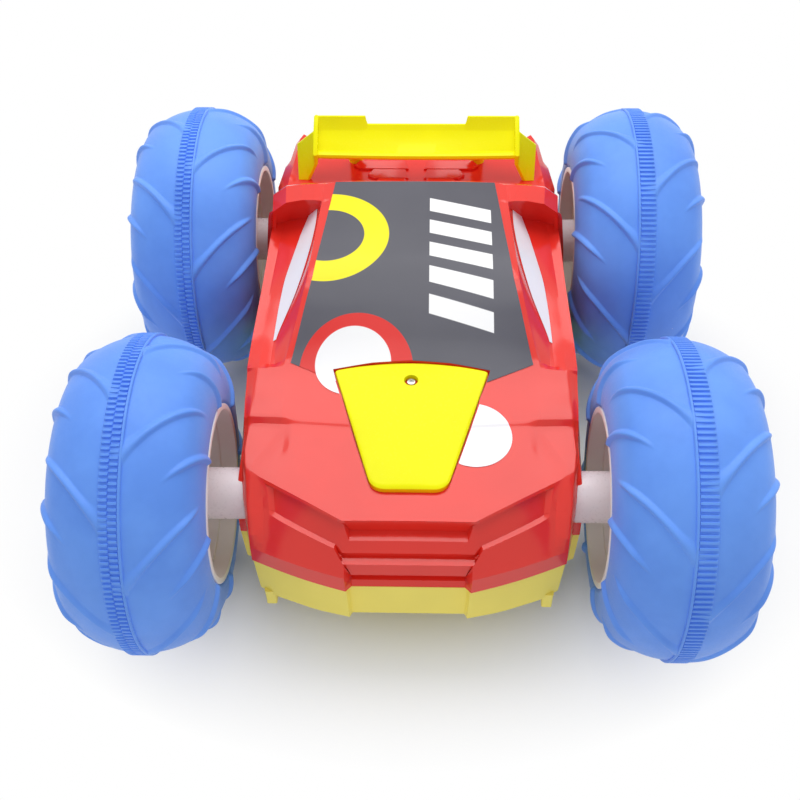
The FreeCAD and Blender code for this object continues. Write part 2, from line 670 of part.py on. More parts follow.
def gear_solid(teeth, phase, x0, x1):
    face = gear_face(int(teeth.value), phase)
    face.translate(V(min(x0, x1), 0, 0))
    return face.extrude(V(abs(x1 - x0), 0, 0))


def shaped(label, shape, centre):
    """A node whose shape is computed about the X axis and then stood at its centre."""
    obj = doc.addObject("Part::Feature", label)
    obj.Shape = shape
    return keep(label, stand(obj, 0, centre[0], centre[1]))


def drive(name, side):
    output, idler, motor = gear_centres()
    y0, y1, z0, z1 = case_box()
    x_in = s.case_inner
    x_out = s.case_inner + case_depth()
    wall = s.case_wall
    bush = s.axle_radius + s.running_gap + s.bush_wall
    case = cut(mirrored_block(side, x_in, x_out, y0, y1, z0, z1),
               mirrored_block(side, x_in + wall, x_out - wall, y0 + wall, y1 - wall,
                              z0 + wall, z1 - wall),
               side_rod(side, bush, x_in - PAST, x_out + PAST, *output),
               side_rod(side, s.idler_pin, x_in + wall / 2, x_out - wall / 2, *idler),
               side_rod(side, s.motor_boss + s.running_gap, x_in - PAST, x_in + wall + PAST / 2, *motor),
               *[rod("Z", s.screw_shank + s.pilot_gap, z0 - PAST, z0 + wall,
                     side * (x_in + case_depth() / 2), y) for y in case_feet()])
    keep("gearbox_case_" + name, case)
    pins.append(side_rod(side, s.idler_pin, x_in + wall / 2, x_out - wall / 2, *idler))
    # gears, from the inner wall outwards
    near = (x_in + wall + s.gear_space).value
    thick, space = s.gear_thick.value, s.gear_space.value
    far = near + thick + space
    to_output = math.atan2(output[1].value - idler[1].value, output[0].value - idler[0].value)
    to_motor = math.atan2(motor[1].value - idler[1].value, motor[0].value - idler[0].value)
    bore = Part.makeCylinder((s.idler_pin + s.running_gap).value, FAR, V(-FAR / 2, 0, 0), V(1, 0, 0))
    wheel = gear_solid(s.idler_teeth, to_motor + math.pi / s.idler_teeth.value,
                       side * near, side * (near + thick))
    small = gear_solid(s.idler_pinion_teeth, to_output, side * (near + thick), side * (far + thick))
    shaped("idler_gear_" + name, wheel.fuse(small).removeSplitter().cut(bore), idler)
    big = gear_solid(s.output_teeth, to_output + math.pi + math.pi / s.output_teeth.value,
                     side * far, side * (far + thick))
    hole = Part.makeCylinder(s.axle_radius.value, FAR, V(-FAR / 2, 0, 0), V(1, 0, 0))
    shaped("output_gear_" + name, big.cut(hole), output)
    pinion = gear_solid(s.pinion_teeth, to_motor + math.pi, side * near, side * (near + thick))
    hole = Part.makeCylinder(s.motor_shaft.value, FAR, V(-FAR / 2, 0, 0), V(1, 0, 0))
    shaped("pinion_" + name, pinion.cut(hole), motor)
    # motor can, its inside and the rotor
    back = x_in - s.motor_length
    can = cut(join(side_rod(side, s.motor_radius, back, x_in, *motor),
                   side_rod(side, s.motor_boss, x_in - ROOT, x_in + s.motor_boss_length, *motor)),
              side_rod(side, s.motor_radius - s.motor_wall, back + s.motor_wall,
                       x_in - s.motor_wall, *motor),
              side_rod(side, s.motor_shaft + s.running_gap, back - PAST,
                       x_in + s.motor_boss_length + PAST, *motor))
    keep("motor_can_" + name, can)
    middle = x_in - s.motor_length / 2
    rotor = join(side_rod(side, s.motor_shaft, back + s.axle_end_gap,
                          x_in + wall + s.gear_space + s.gear_thick, *motor),
                 side_rod(side, s.armature_radius, middle - s.armature_length / 2,
                          middle + s.armature_length / 2, *motor))
    keep("rotor_" + name, rotor)
    for a, b in ((x_in, x_in + wall), (x_out - wall, x_out)):
        bushes.append(cut(side_rod(side, bush, a, b, *output),
                          side_rod(side, s.axle_radius + s.running_gap, a - PAST, b + PAST, *output)))


# ---------------------------------------------------------------- wheels
def tyre_profile(wall):
    """Tyre outline in section, moved in by a wall: two sidewall arcs and the crown arc."""
    lean = s.shoulder_half / s.crown_radius
    fall = 1 - s.shoulder_drop / s.crown_radius
    foot = s.rim_radius + s.seat_gap + s.bead_height
    crest = TYRE_R - s.band_height
    return HALF - wall, foot, (s.shoulder_half - wall * lean, crest - s.shoulder_drop - wall * fall)


def tyre(name, side, y):
    outer_side, outer_foot, outer = tyre_profile(size(0))
    inner_side, inner_foot, inner = tyre_profile(s.tyre_wall)
    bead = s.rim_radius + s.seat_gap
    band = s.band_width / 2
    crest = TYRE_R - s.band_height
    root = crest - s.band_root
    points = [(TRACK - outer_side, bead), (TRACK - outer_side, outer_foot),
              (TRACK - outer[0], outer[1]), (TRACK - band, root), (TRACK - band, TYRE_R),
              (TRACK + band, TYRE_R), (TRACK + band, root), (TRACK + outer[0], outer[1]),
              (TRACK + outer_side, outer_foot), (TRACK + outer_side, bead),
              (TRACK + inner_side, bead), (TRACK + inner_side, inner_foot),
              (TRACK + inner[0], inner[1]), (TRACK - inner[0], inner[1]),
              (TRACK - inner_side, inner_foot), (TRACK - inner_side, bead)]
    arcs = {1: -s.sidewall_radius, 2: -s.crown_radius, 6: -s.crown_radius, 7: -s.sidewall_radius,
            11: s.sidewall_radius - s.tyre_wall, 12: s.crown_radius - s.tyre_wall,
            13: s.sidewall_radius - s.tyre_wall}
    keep("tyre_" + name, lathe(side, points, y, AXLE_Z, arcs))


def wheel(name, side, end):
    y = BASE * end
    tyre(name, side, y)
    rim, wall = s.rim_radius, s.rim_wall
    web_in = TRACK - s.web_inset - s.web_thick
    web_out = TRACK - s.web_inset
    step_x = TRACK - HALF + s.rim_step_depth
    driven = end > 0
    bore = s.axle_radius if driven else s.axle_radius + s.running_gap + s.bush_wall
    outer_step = TRACK + HALF - s.rim_step_depth
    profile = [(TRACK - HALF, rim), (TRACK + HALF, rim), (TRACK + HALF, rim - wall),
               (outer_step, rim - wall), (outer_step, rim - wall - s.rim_step),
               (web_out, rim - wall - s.rim_step),
               (web_out, s.boss_radius), (web_out + s.boss_outward, s.boss_radius),
               (web_out + s.boss_outward, bore), (web_in - s.boss_inward, bore),
               (web_in - s.boss_inward, s.boss_radius), (web_in, s.boss_radius),
               (web_in, rim - wall - s.rim_step), (step_x, rim - wall - s.rim_step),
               (step_x, rim - wall), (TRACK - HALF, rim - wall)]
    drum = lathe(side, profile, y, AXLE_Z)
    spokes = []
    count = int(s.spoke_count.value)
    root = s.cap_radius + s.cap_gap * 3
    for number in range(count):
        spoke = doc.addObject("Part::Box", "Spoke")
        bind(spoke, "Length", s.spoke_depth + s.spoke_root)
        bind(spoke, "Width", s.spoke_width)
        bind(spoke, "Height", rim - wall - s.rim_step + s.spoke_root - root)
        turn = FreeCAD.Rotation(V(1, 0, 0), 360.0 * number / count)
        x = web_out - s.spoke_root if side > 0 else -web_out - s.spoke_depth
        foot = turn.multVec(V(0, -0.5, 0))
        rise = turn.multVec(V(0, 0, 1))
        stand(spoke, x, y + s.spoke_width * foot.y + root * rise.y,
              AXLE_Z + s.spoke_width * foot.z + root * rise.z, turn)
        spokes.append(spoke)
    keep("hub_" + name, join(drum, *spokes))
    # cap: a shallow lid whose skirt grips the boss
    lid = web_out + s.boss_outward + s.axle_screw_thick + s.cap_headroom
    skirt = s.boss_radius + s.cap_gap
    grip = skirt + s.cap_skirt_wall
    crown = lid + s.cap_thick
    keep("hub_cap_" + name, lathe(side, [
        (lid - s.cap_skirt, skirt), (lid, skirt), (lid, 0), (crown, 0),
        (crown, s.cap_radius - s.cap_chamfer * 2), (crown - s.cap_chamfer, s.cap_radius),
        (lid - s.cap_rim, s.cap_radius), (lid - s.cap_rim, grip), (lid - s.cap_skirt, grip)],
        y, AXLE_Z))
    # sleeve from the body side into the drum
    tip = web_in - s.boss_inward - s.sleeve_end_gap
    inner_end = s.body_half - s.saddle_reach
    plug_end = inner_end + s.sleeve_plug
    core = s.axle_radius if not driven else s.axle_radius + s.sleeve_core_gap
    tube = s.sleeve_radius - s.sleeve_wall
    nest = s.axle_radius + s.running_gap + s.bush_wall
    ring = [(tip, s.sleeve_radius), (inner_end, s.sleeve_radius), (inner_end, core), (plug_end, core),
            (plug_end, tube), (tip - s.bush_length, tube), (tip - s.bush_length, nest), (tip, nest)]
    if not driven:
        ring = ring[:5] + [(tip, tube)]
    keep("sleeve_" + name, lathe(side, ring, y, AXLE_Z))
    head = web_out + s.boss_outward + s.axle_end_gap
    if driven:
        keep("sleeve_bush_" + name, lathe(side, [
            (tip - s.bush_length, s.axle_radius + s.running_gap), (tip, s.axle_radius + s.running_gap),
            (tip, nest), (tip - s.bush_length, nest)], y, AXLE_Z))
        keep("axle_" + name, side_rod(side, s.axle_radius, s.case_inner + s.axle_end_gap, head,
                                         y, AXLE_Z))
    else:
        keep("wheel_bush_" + name, lathe(side, [
            (web_in - s.boss_inward, s.axle_radius + s.running_gap),
            (web_out + s.boss_outward, s.axle_radius + s.running_gap),
            (web_out + s.boss_outward, nest), (web_in - s.boss_inward, nest)], y, AXLE_Z))
        keep("axle_" + name, side_rod(side, s.axle_radius, inner_end, head, y, AXLE_Z))
    keep("axle_screw_" + name, side_rod(side, s.axle_screw_head, head, head + s.axle_screw_thick,
                                        y, AXLE_Z))


# ---------------------------------------------------------------- battery and electronics
def battery():
    height = s.cell_diameter * 2 + s.wrap * 2
    half = s.cell_diameter + s.wrap
    bed = FLOOR + s.tray_wall
    rear = -s.pack_y + s.cell_length / 2
    front = -s.pack_y - s.cell_length / 2
    top = bed + height
    inside = (half + s.pack_gap, front - s.pack_gap, rear + s.pack_gap)
    tray = cut(block(-inside[0] - s.tray_wall, inside[0] + s.tray_wall, inside[1] - s.tray_wall,
                     inside[2] + s.tray_wall, FLOOR, top - s.tray_drop),
               block(-inside[0], inside[0], inside[1], inside[2], bed, top))
    keep("battery_tray", tray)
    middle = bed + height / 2
    pieces = []
    for x in (-1, 1):
        for z in (-1, 1):
            pieces.append(rod("Y", s.cell_diameter / 2 + s.wrap, front, rear, x * s.cell_diameter / 2,
                              middle + z * s.cell_diameter / 2))
    pieces.append(block(-s.cell_diameter / 2, s.cell_diameter / 2, front, rear,
                        middle - height / 2, middle + height / 2))
    pieces.append(block(-half, half, front, rear, middle - s.cell_diameter / 2,
                        middle + s.cell_diameter / 2))
    keep("battery_pack", join(*pieces))
    contacts = []
    for side in (-1, 1):
        x0 = side * s.cell_diameter / 2 - s.contact_width / 2
        contacts.append(block(x0, x0 + s.contact_width, inside[2] - s.contact_thick, inside[2],
                              bed + s.contact_foot, top - s.contact_drop))
    keep("battery_contacts", group(*contacts))


def electronics():
    top = s.board_z + s.board_thick
    keep("circuit_board", block(-s.board_half, s.board_half, -s.board_front, s.board_rear,
                                s.board_z, top))

    def part(x, y, length, width, height):
        """A block that stands on the board, centred at a place."""
        return block(x - length / 2, x + length / 2, y - width / 2, y + width / 2, top, top + height)

    chip = part(s.chip_x, s.chip_y, s.chip_length, s.chip_width, s.chip_thick)
    relays = [part(side * s.relay_x, s.relay_y, s.relay_length, s.relay_width, s.relay_height)
              for side in (-1, 1)]
    crystal = part(s.crystal_x, s.crystal_y, s.crystal_length, s.crystal_width, s.crystal_height)
    keep("board_parts", group(chip, *relays, crystal))
    x, y = -s.switch_x, s.switch_y
    half_w, half_l = s.switch_width / 2, s.switch_length / 2
    slot = s.switch_travel + s.knob_length / 2 + s.knob_gap
    roof = FLOOR + s.switch_height - s.switch_roof
    shell = cut(block(x - half_w, x + half_w, y - half_l, y + half_l, FLOOR, FLOOR + s.switch_height),
                block(x - s.knob_width / 2 - s.knob_gap, x + s.knob_width / 2 + s.knob_gap,
                      y - slot, y + slot, FLOOR - PAST, roof))
    keep("switch_body", shell)
    off = y - s.switch_travel
    keep("switch_knob", block(x - s.knob_width / 2, x + s.knob_width / 2, off - s.knob_length / 2,
                              off + s.knob_length / 2, s.belly_z - s.knob_drop, roof - s.knob_gap))


# ---------------------------------------------------------------- wing and decals
def blade_height(y):
    """Height of the wing blade's top at a distance y behind the middle."""
    slope = (s.wing_rear_z - s.wing_front_z) / (s.wing_rear_y - s.wing_front_y)
    return s.wing_front_z + slope * (y - s.wing_front_y)


def wing():
    thick = s.wing_thick
    blade = prism("YZ_Plane", [
        (s.wing_front_y, s.wing_front_z - thick), (s.wing_rear_y, s.wing_rear_z - thick),
        (s.wing_rear_y, s.wing_rear_z), (s.wing_front_y, s.wing_front_z)],
        -s.wing_half - s.plate_lip, s.wing_half + s.plate_lip)
    notch = block(-s.wing_notch_half, s.wing_notch_half, s.wing_rear_y - s.wing_notch,
                  s.wing_rear_y + PAST, s.wing_front_z, s.wing_rear_z + PAST)
    pieces = [cut(blade, notch)]
    foot = s.deck_z + s.wing_foot_gap
    for side in (-1, 1):
        leaf = prism("XZ_Plane", [
            (side * (s.plate_foot_x - s.plate_thick), foot), (side * s.plate_foot_x, foot),
            (side * s.plate_head_x, s.wing_front_z),
            (side * (s.wing_half + s.plate_lip), s.wing_rear_z),
            (side * (s.wing_half - s.plate_lip / 2), s.wing_rear_z - thick)],
            s.plate_front, s.wing_rear_y)
        trim = prism("YZ_Plane", [
            (s.plate_front, foot), (s.wing_rear_y - s.plate_tail, foot),
            (s.wing_rear_y, s.wing_rear_z - thick), (s.wing_rear_y, s.wing_rear_z),
            (s.wing_front_y, s.wing_front_z), (s.plate_front, foot + s.plate_nose)],
            -s.body_half, s.body_half)
        pieces.append(meet(leaf, trim))
        pieces.append(rod("Z", s.strut_radius, foot, blade_height(s.strut_y) - thick * 0.75,
                          side * s.strut_x, s.strut_y))
    pilots = [rod("Z", s.screw_shank + s.pilot_gap, s.deck_z - PAST, s.wing_front_z - PAST,
                  side * s.strut_x, s.strut_y) for side in (-1, 1)]
    keep("rear_wing", cut(join(*pieces), *pilots))
    seat = deck_height(s.strut_y) - s.shell_wall - s.wing_screw_gap
    keep("wing_screws", group(*[screw(side * s.strut_x, s.strut_y, seat, -1, s.wing_screw_length)
                                for side in (-1, 1)]))


def deck_height(y):
    """Height of the rear deck at a distance y behind the middle."""
    slope = (s.deck_z - s.belt_z) / (s.tail_y - 1 - s.back_foot_y)
    return s.belt_z + slope * (y - s.back_foot_y)


def decals():
    thick = s.decal_thick
    gap = s.decal_gap
    front = (-s.screen_y + s.decal_inset, s.hood_z + s.decal_step)
    strip = prism("YZ_Plane", [
        front, (s.roof_front_y, s.roof_front_z + gap), (s.roof_rear_y, s.roof_rear_z + gap),
        (s.roof_rear_y, s.roof_rear_z + thick), (s.roof_front_y, s.roof_front_z + thick),
        (front[0], front[1] + thick)], -s.body_half, s.body_half)
    plan = prism("XY_Plane", both_sides([
        (s.panel_front_half, -s.screen_y - PAST), (s.panel_mid_half, s.roof_front_y),
        (s.panel_rear_half, s.roof_rear_y - s.decal_inset)]), s.lip_z, s.cabin_top_z + PAST)
    keep("roof_panel", meet(strip, plan))
    disc = meet(rod("Z", s.hood_disc_radius, s.parting_z, s.deck_z, s.hood_disc_x,
                    -s.hood_disc_y), hood_strip(-thick, -gap))
    points, arcs = door_outline(s.door_gap * 1.5)
    keep("hood_decal", cut(disc, prism("XY_Plane", points, s.parting_z, s.deck_z, arcs)))
    # slivers on the side windows: bent strips, wide in the middle, on the leaning cabin side
    lean = (s.cabin_foot - s.cabin_top) / (s.cabin_top_z - s.cabin_foot_z)
    end, gap = s.crescent_end, s.crescent_gap
    low, high = s.hood_z + end, s.roof_front_z - end
    slivers = []
    for side in (-1, 1):
        face = [(s.cabin_foot - lean * (z - s.cabin_foot_z), z) for z in (low - end, high + end)]
        skin = [(side * (x + out), z) for out, pair in ((gap, face), (gap + thick, face[::-1]))
                for x, z in pair]
        slab = prism("XZ_Plane", skin, -s.screen_y, s.roof_rear_y)
        shape = prism("YZ_Plane", [
            (-s.crescent_front, low), (s.ear_y - s.crescent_width, high - s.crescent_width),
            (s.ear_y - s.crescent_width, high)], -s.body_half, s.body_half,
            {0: -s.crescent_radius, 2: s.crescent_inner_radius})
        slivers.append(meet(slab, shape))
    keep("window_decals", group(*slivers))


upper_shell()
battery_door()
lower_chassis()
pins, bushes = [], []
for name, side in (("left", -1), ("right", 1)):
    drive(name, side)
keep("idler_pins", group(*pins))
keep("gearbox_bushes", group(*bushes))
for name, (side, end) in CORNERS.items():
    wheel(name, side, end)
battery()
electronics()
wing()
decals()
doc.recompute()

# ---------------------------------------------------------------- checks and files
for obj in doc.Objects:
    if "Invalid" in obj.State or "Error" in obj.State:
        raise SystemExit("failed object: %s (%s)" % (obj.Label, obj.State))
os.makedirs("parts", exist_ok=True)
for label, obj in nodes.items():
    if obj.Shape.isNull() or not obj.Shape.isValid() or not obj.Shape.Solids:
        raise SystemExit("bad shape: " + label)
    obj.Shape.exportStep(os.path.join("parts", label + ".step"))
    print(label, len(obj.Shape.Solids), round(obj.Shape.Volume, 1))
print(len(nodes), "nodes")
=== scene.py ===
import json
import math

import bmesh
import bpy
import numpy as np
from mathutils import Matrix, Vector


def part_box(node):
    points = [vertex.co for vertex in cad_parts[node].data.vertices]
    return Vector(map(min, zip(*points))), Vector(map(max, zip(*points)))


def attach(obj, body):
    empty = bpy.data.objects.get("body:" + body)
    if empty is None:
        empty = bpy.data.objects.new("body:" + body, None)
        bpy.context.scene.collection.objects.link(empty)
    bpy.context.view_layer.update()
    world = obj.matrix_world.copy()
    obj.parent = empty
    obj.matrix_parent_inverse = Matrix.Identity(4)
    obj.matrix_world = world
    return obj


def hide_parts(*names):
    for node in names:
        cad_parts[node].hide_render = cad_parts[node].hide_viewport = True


# Radio-controlled stunt car: gloss red shell, yellow tub, wing and battery door,
# and four large ribbed blue vinyl tyres. Lengths are worked out in millimetres,
# nose towards -Y, +Z up, and become metres when a mesh is made.

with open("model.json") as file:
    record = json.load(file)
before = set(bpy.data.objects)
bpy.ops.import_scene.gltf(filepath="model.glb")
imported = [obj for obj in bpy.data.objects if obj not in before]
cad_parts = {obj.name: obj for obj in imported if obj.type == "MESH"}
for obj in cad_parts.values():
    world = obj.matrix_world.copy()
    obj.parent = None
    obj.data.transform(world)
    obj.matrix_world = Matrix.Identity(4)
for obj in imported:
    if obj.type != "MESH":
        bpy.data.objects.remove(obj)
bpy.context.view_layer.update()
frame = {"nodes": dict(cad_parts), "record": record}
MM = 0.001
AXLE_Z, WHEEL_BASE_HALF, TRACK_HALF = 55.0, 71.3, 88.9


# ---------------- surfaces
def sheet_of(points, wrap=False, keep=None):
    """Corners and quads of a grid of points (rows, columns, 3): quad (i, j) joins rows i and i+1
    and columns j and j+1. With wrap, the last column joins the first; keep marks quads to keep."""
    rows, columns = points.shape[:2]
    number = np.arange(rows * columns).reshape(rows, columns)
    if wrap:
        number = np.hstack([number, number[:, :1]])
    quads = np.stack([number[:-1, :-1], number[:-1, 1:], number[1:, 1:], number[1:, :-1]], -1)
    points = points.reshape(-1, 3)
    if keep is not None:
        used, quads = np.unique(quads[keep], return_inverse=True)
        points = points[used]
    return points, quads.reshape(-1, 4)


def values_of(items, field, kind=float, width=1):
    """One field of all items of a mesh, as a flat array."""
    values = np.zeros(len(items) * width, kind)
    items.foreach_get(field, values)
    return values


def placed(name, data):
    """A new object with this data, in the scene."""
    made = bpy.data.objects.new(name, data)
    bpy.context.scene.collection.objects.link(made)
    return made


def mesh_piece(name, sheets, body, slot, stands_for, crease=38.0, weld=2e-6, finish=None):
    """One mesh of several sheets: shared edges are welded and faces turned outwards. Edges bent
    more than the crease angle, and open edges, are sharp."""
    starts = np.cumsum([0] + [len(points) for points, _ in sheets])
    corners = np.vstack([points for points, _ in sheets]) * MM
    quads = np.vstack([faces + start for (_, faces), start in zip(sheets, starts)])
    mesh = bpy.data.meshes.new(name)
    mesh.from_pydata(corners, [], quads, shade_flat=False)
    shape = bmesh.new()
    shape.from_mesh(mesh)
    bmesh.ops.remove_doubles(shape, verts=shape.verts, dist=weld)
    bmesh.ops.recalc_face_normals(shape, faces=shape.faces)
    shape.to_mesh(mesh)
    shape.free()
    mesh.set_sharp_from_angle(angle=math.radians(crease))
    faces_at = np.bincount(values_of(mesh.loops, "edge_index", np.int32), minlength=len(mesh.edges))
    sharp = values_of(mesh.edges, "use_edge_sharp", bool) | (faces_at == 1)
    mesh.edges.foreach_set("use_edge_sharp", sharp)
    mesh.materials.append(FINISHES[finish or slot])
    made = placed(name, mesh)
    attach(made, body)
    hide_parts(*stands_for)
    return made


def add_wall(made, wall, offset=-1.0):
    """Gives an open sheet its wall: on its inner side, or on its outer side with an offset of 1."""
    solid = made.modifiers.new("wall", "SOLIDIFY")
    solid.thickness = wall * MM
    solid.offset = offset


def turn_up(made):
    """Turns an open sheet over if it faces down."""
    faces = made.data.polygons
    if (values_of(faces, "normal", width=3)[2::3] * values_of(faces, "area")).sum() < 0:
        made.data.flip_normals()
    return made


def fillet(points, radius, count=5):
    """A profile with its corners rounded: radius gives the rounding at each one, and the round is
    the quadratic curve between two points on the legs."""
    points = np.asarray(points, float)
    radius = np.broadcast_to(radius, len(points))
    out = []
    last = len(points)
    for i in range(last):
        before, here, after = points[i - 1], points[i], points[(i + 1) % last]
        if radius[i] <= 0:
            out.append(here[None])
            continue
        to_before, to_after = before - here, after - here
        one, two = np.linalg.norm(to_before), np.linalg.norm(to_after)
        reach = min(radius[i], one * 0.45, two * 0.45)
        a, b = here + to_before / one * reach, here + to_after / two * reach
        t = np.linspace(0, 1, count)[:, None]
        out.append((1 - t) ** 2 * a + 2 * t * (1 - t) * here + t ** 2 * b)
    return np.vstack(out)


def column(*values):
    """Numbers as a column, one for each ring."""
    return np.array(values, float)[:, None]


def full_turn(count):
    """Evenly spaced angles round a circle."""
    return np.linspace(0, 2 * np.pi, count, endpoint=False)


def round_sheet(x, y, z):
    """A sheet of closed rings of points."""
    return sheet_of(np.stack(np.broadcast_arrays(x, y, z), -1), True)


def about_axle(side, axle_y, out, radius, angle):
    """Rings turned about an axle: at angle t a point lies at y = axle + radius cos t and
    z = axle height + radius sin t."""
    return round_sheet(side * out, axle_y + radius * np.cos(angle),
                       AXLE_Z + radius * np.sin(angle))


def turned(profile, side, axle_y, count):
    """A closed profile of (distance outboard, radius) turned about an axle."""
    profile = np.vstack([profile, profile[:1]])
    return about_axle(side, axle_y, profile[:, :1], profile[:, 1:], full_turn(count))


def upright(x, y, radius, height, count):
    """Radii and heights turned about an upright line; it leans where x or y differ by ring."""
    x, y, radius, height = (np.broadcast_to(v, len(radius))[:, None]
                            for v in (x, y, radius, height))
    angle = full_turn(count)
    return np.stack([x + radius * np.cos(angle), y + radius * np.sin(angle),
                     height + 0 * angle], -1)


def capped(rings):
    """Rings of points, closed at both ends by drawing the end rings in to their middles."""
    ends = rings[[0, -1]].mean(1, keepdims=True) + 0 * rings[[0, -1]]
    return sheet_of(np.vstack([ends[:1], rings, ends[1:]]), True)


def evenly(line, count, closed=False):
    """A line resampled to evenly spaced points, and its length."""
    if closed:
        line = np.vstack([line, line[:1]])
    along = np.r_[0, np.cumsum(np.linalg.norm(np.diff(line, axis=0), axis=1))]
    even = np.linspace(0, along[-1], count, endpoint=not closed)
    return np.stack([np.interp(even, along, line[:, axis]) for axis in (0, 1)], -1), along[-1]


def divided(key, starts):
    """Rows between key rows: key row k becomes row starts[k], and it is straight between them."""
    row = np.arange(starts[-1] + 1)
    k = np.minimum(np.searchsorted(starts, row, side="right") - 1, len(starts) - 2)
    t = ((row - starts[k]) / (starts[k + 1] - starts[k]))[:, None, None]
    return key[k] * (1 - t) + key[k + 1] * t


def ease(low, high, value):
    """Rises smoothly from 0 to 1 between low and high."""
    t = np.clip((value - low) / (high - low), 0, 1)
    return t * t * (3 - 2 * t)


# ---------------- finishes
def set_inputs(tree, node, inputs):
    """Sets a node's inputs, by name or number, each to a constant or to what a socket gives."""
    for key, value in inputs.items():
        if hasattr(value, "links"):
            tree.links.new(value, node.inputs[key])
        else:
            node.inputs[key].default_value = value


def add_node(tree, kind, inputs, output=0, **settings):
    """Adds a node with its settings and inputs, and gives one of its outputs."""
    node = tree.nodes.new("ShaderNode" + kind)
    for key, value in settings.items():
        setattr(node, key, value)
    set_inputs(tree, node, inputs)
    return node.outputs[output]


def new_material(name):
    """A new material, its node tree and its shader."""
    material = bpy.data.materials.new(name)
    material.use_nodes = True
    return material, material.node_tree, material.node_tree.nodes["Principled BSDF"]


def own_place(tree):
    """The piece's own coordinates, in metres."""
    return add_node(tree, "TexCoord", {}, "Object")


def noise(tree, scale, detail=2.0, roughness=0.5, stretch=(1, 1, 1)):
    """Noise over the piece's own coordinates, in lumps per metre."""
    place = add_node(tree, "Mapping", {"Vector": own_place(tree), "Scale": stretch})
    return add_node(tree, "TexNoise", {"Vector": place, "Scale": scale, "Detail": detail,
                                       "Roughness": roughness}, "Fac")


def between(tree, value, low, high, start=0.35, stop=0.65):
    """Maps a value's range from start to stop to the range low to high, and holds it there."""
    return add_node(tree, "MapRange", {"Value": value, "From Min": start, "From Max": stop,
                                       "To Min": low, "To Max": high}, "Result")


def reckon(tree, operation, one, two=0.5):
    """One sum on values or sockets."""
    return add_node(tree, "Math", {0: one, 1: two}, operation=operation)


def within(tree, value, low, high, soft):
    """1 where a value lies between low and high, 0 outside, and soft at both ends."""
    return reckon(tree, "MULTIPLY", between(tree, value, 0, 1, low - soft, low + soft),
                  between(tree, value, 1, 0, high - soft, high + soft))


def blend(tree, factor, one, two):
    """Mixes two colours, each a value or a socket."""
    one, two = (c if hasattr(c, "links") else (*c, 1) for c in (one, two))
    return add_node(tree, "Mix", {"Factor": factor, "A": one, "B": two}, "Result",
                    data_type="RGBA")


def relief(tree, heights):
    """A chain of bumps for a shader's normal: heights holds (socket, metres, strength)."""
    normal = {}
    for height, distance, strength in heights:
        normal = {"Normal": add_node(tree, "Bump", {"Height": height, "Distance": distance,
                                                    "Strength": strength, **normal})}
    return normal


def moulded(name, colour, rough, coat=0.0, tint=0.06, grain=0.00003, specular=0.5, through=0.0):
    """Moulded plastic: faint flow clouding in the colour, uneven gloss and a fine skin."""
    material, tree, shader = new_material(name)
    flow, fine, ripple = noise(tree, 38), noise(tree, 900, 2.0, 0.6), noise(tree, 150, 1.0)
    darker = tuple(c * (1 - tint) for c in colour)
    set_inputs(tree, shader, {
        "Base Color": blend(tree, between(tree, flow, 0, 1), darker, colour),
        "Roughness": between(tree, fine, rough * 0.85, rough * 1.2),
        "Specular IOR Level": specular, "Coat Weight": coat, "Coat Roughness": 0.06,
        "Subsurface Weight": through, "Subsurface Radius": (0.004, 0.003, 0.003),
        "Subsurface Scale": 1.0, **relief(tree, [(ripple, 0.00012, 0.25), (fine, grain, 0.4)])})
    return material


def balloon_vinyl(name, colour):
    """Soft satin vinyl: cloudy blue, tiny pale specks, a bloom on grazing faces and a fine skin."""
    material, tree, shader = new_material(name)
    cloud, fine = noise(tree, 26, 4.0, 0.6), noise(tree, 1400, 3.0, 0.7)
    pale = tuple(min(1.0, c * 1.07 + 0.012) for c in colour)
    deep = tuple(c * 0.93 for c in colour)
    body = blend(tree, between(tree, cloud, 0, 1, 0.38, 0.62), deep, pale)
    dots = add_node(tree, "TexVoronoi", {"Vector": own_place(tree), "Scale": 75}, "Distance")
    speck = reckon(tree, "MULTIPLY", between(tree, dots, 1, 0, 0.018, 0.03),
                   between(tree, noise(tree, 41), 0, 0.6, 0.58, 0.6))
    set_inputs(tree, shader, {
        "Base Color": blend(tree, speck, body, (0.62, 0.72, 0.95)),
        "Roughness": between(tree, fine, 0.42, 0.6), "Specular IOR Level": 0.35,
        "Sheen Weight": 0.12, "Sheen Roughness": 0.45, "Subsurface Weight": 0.06,
        "Subsurface Radius": (0.001, 0.002, 0.004), "Subsurface Scale": 1.0,
        **relief(tree, [(cloud, 0.0004, 0.25), (fine, 0.00004, 0.5)])})
    return material


def metal(name, colour, rough):
    """Plated or sintered metal: drawn-out brush lines and faint stain in the colour."""
    material, tree, shader = new_material(name)
    lines, stain = noise(tree, 300, 3.0, 0.6, (1, 1, 60)), noise(tree, 90, 3.0, 0.6)
    dull = tuple(c * 0.82 for c in colour)
    set_inputs(tree, shader, {
        "Base Color": blend(tree, between(tree, stain, 0, 1), dull, colour), "Metallic": 1.0,
        "Roughness": between(tree, lines, rough * 0.75, rough * 1.3),
        **relief(tree, [(lines, 0.00002, 0.5)])})
    return material


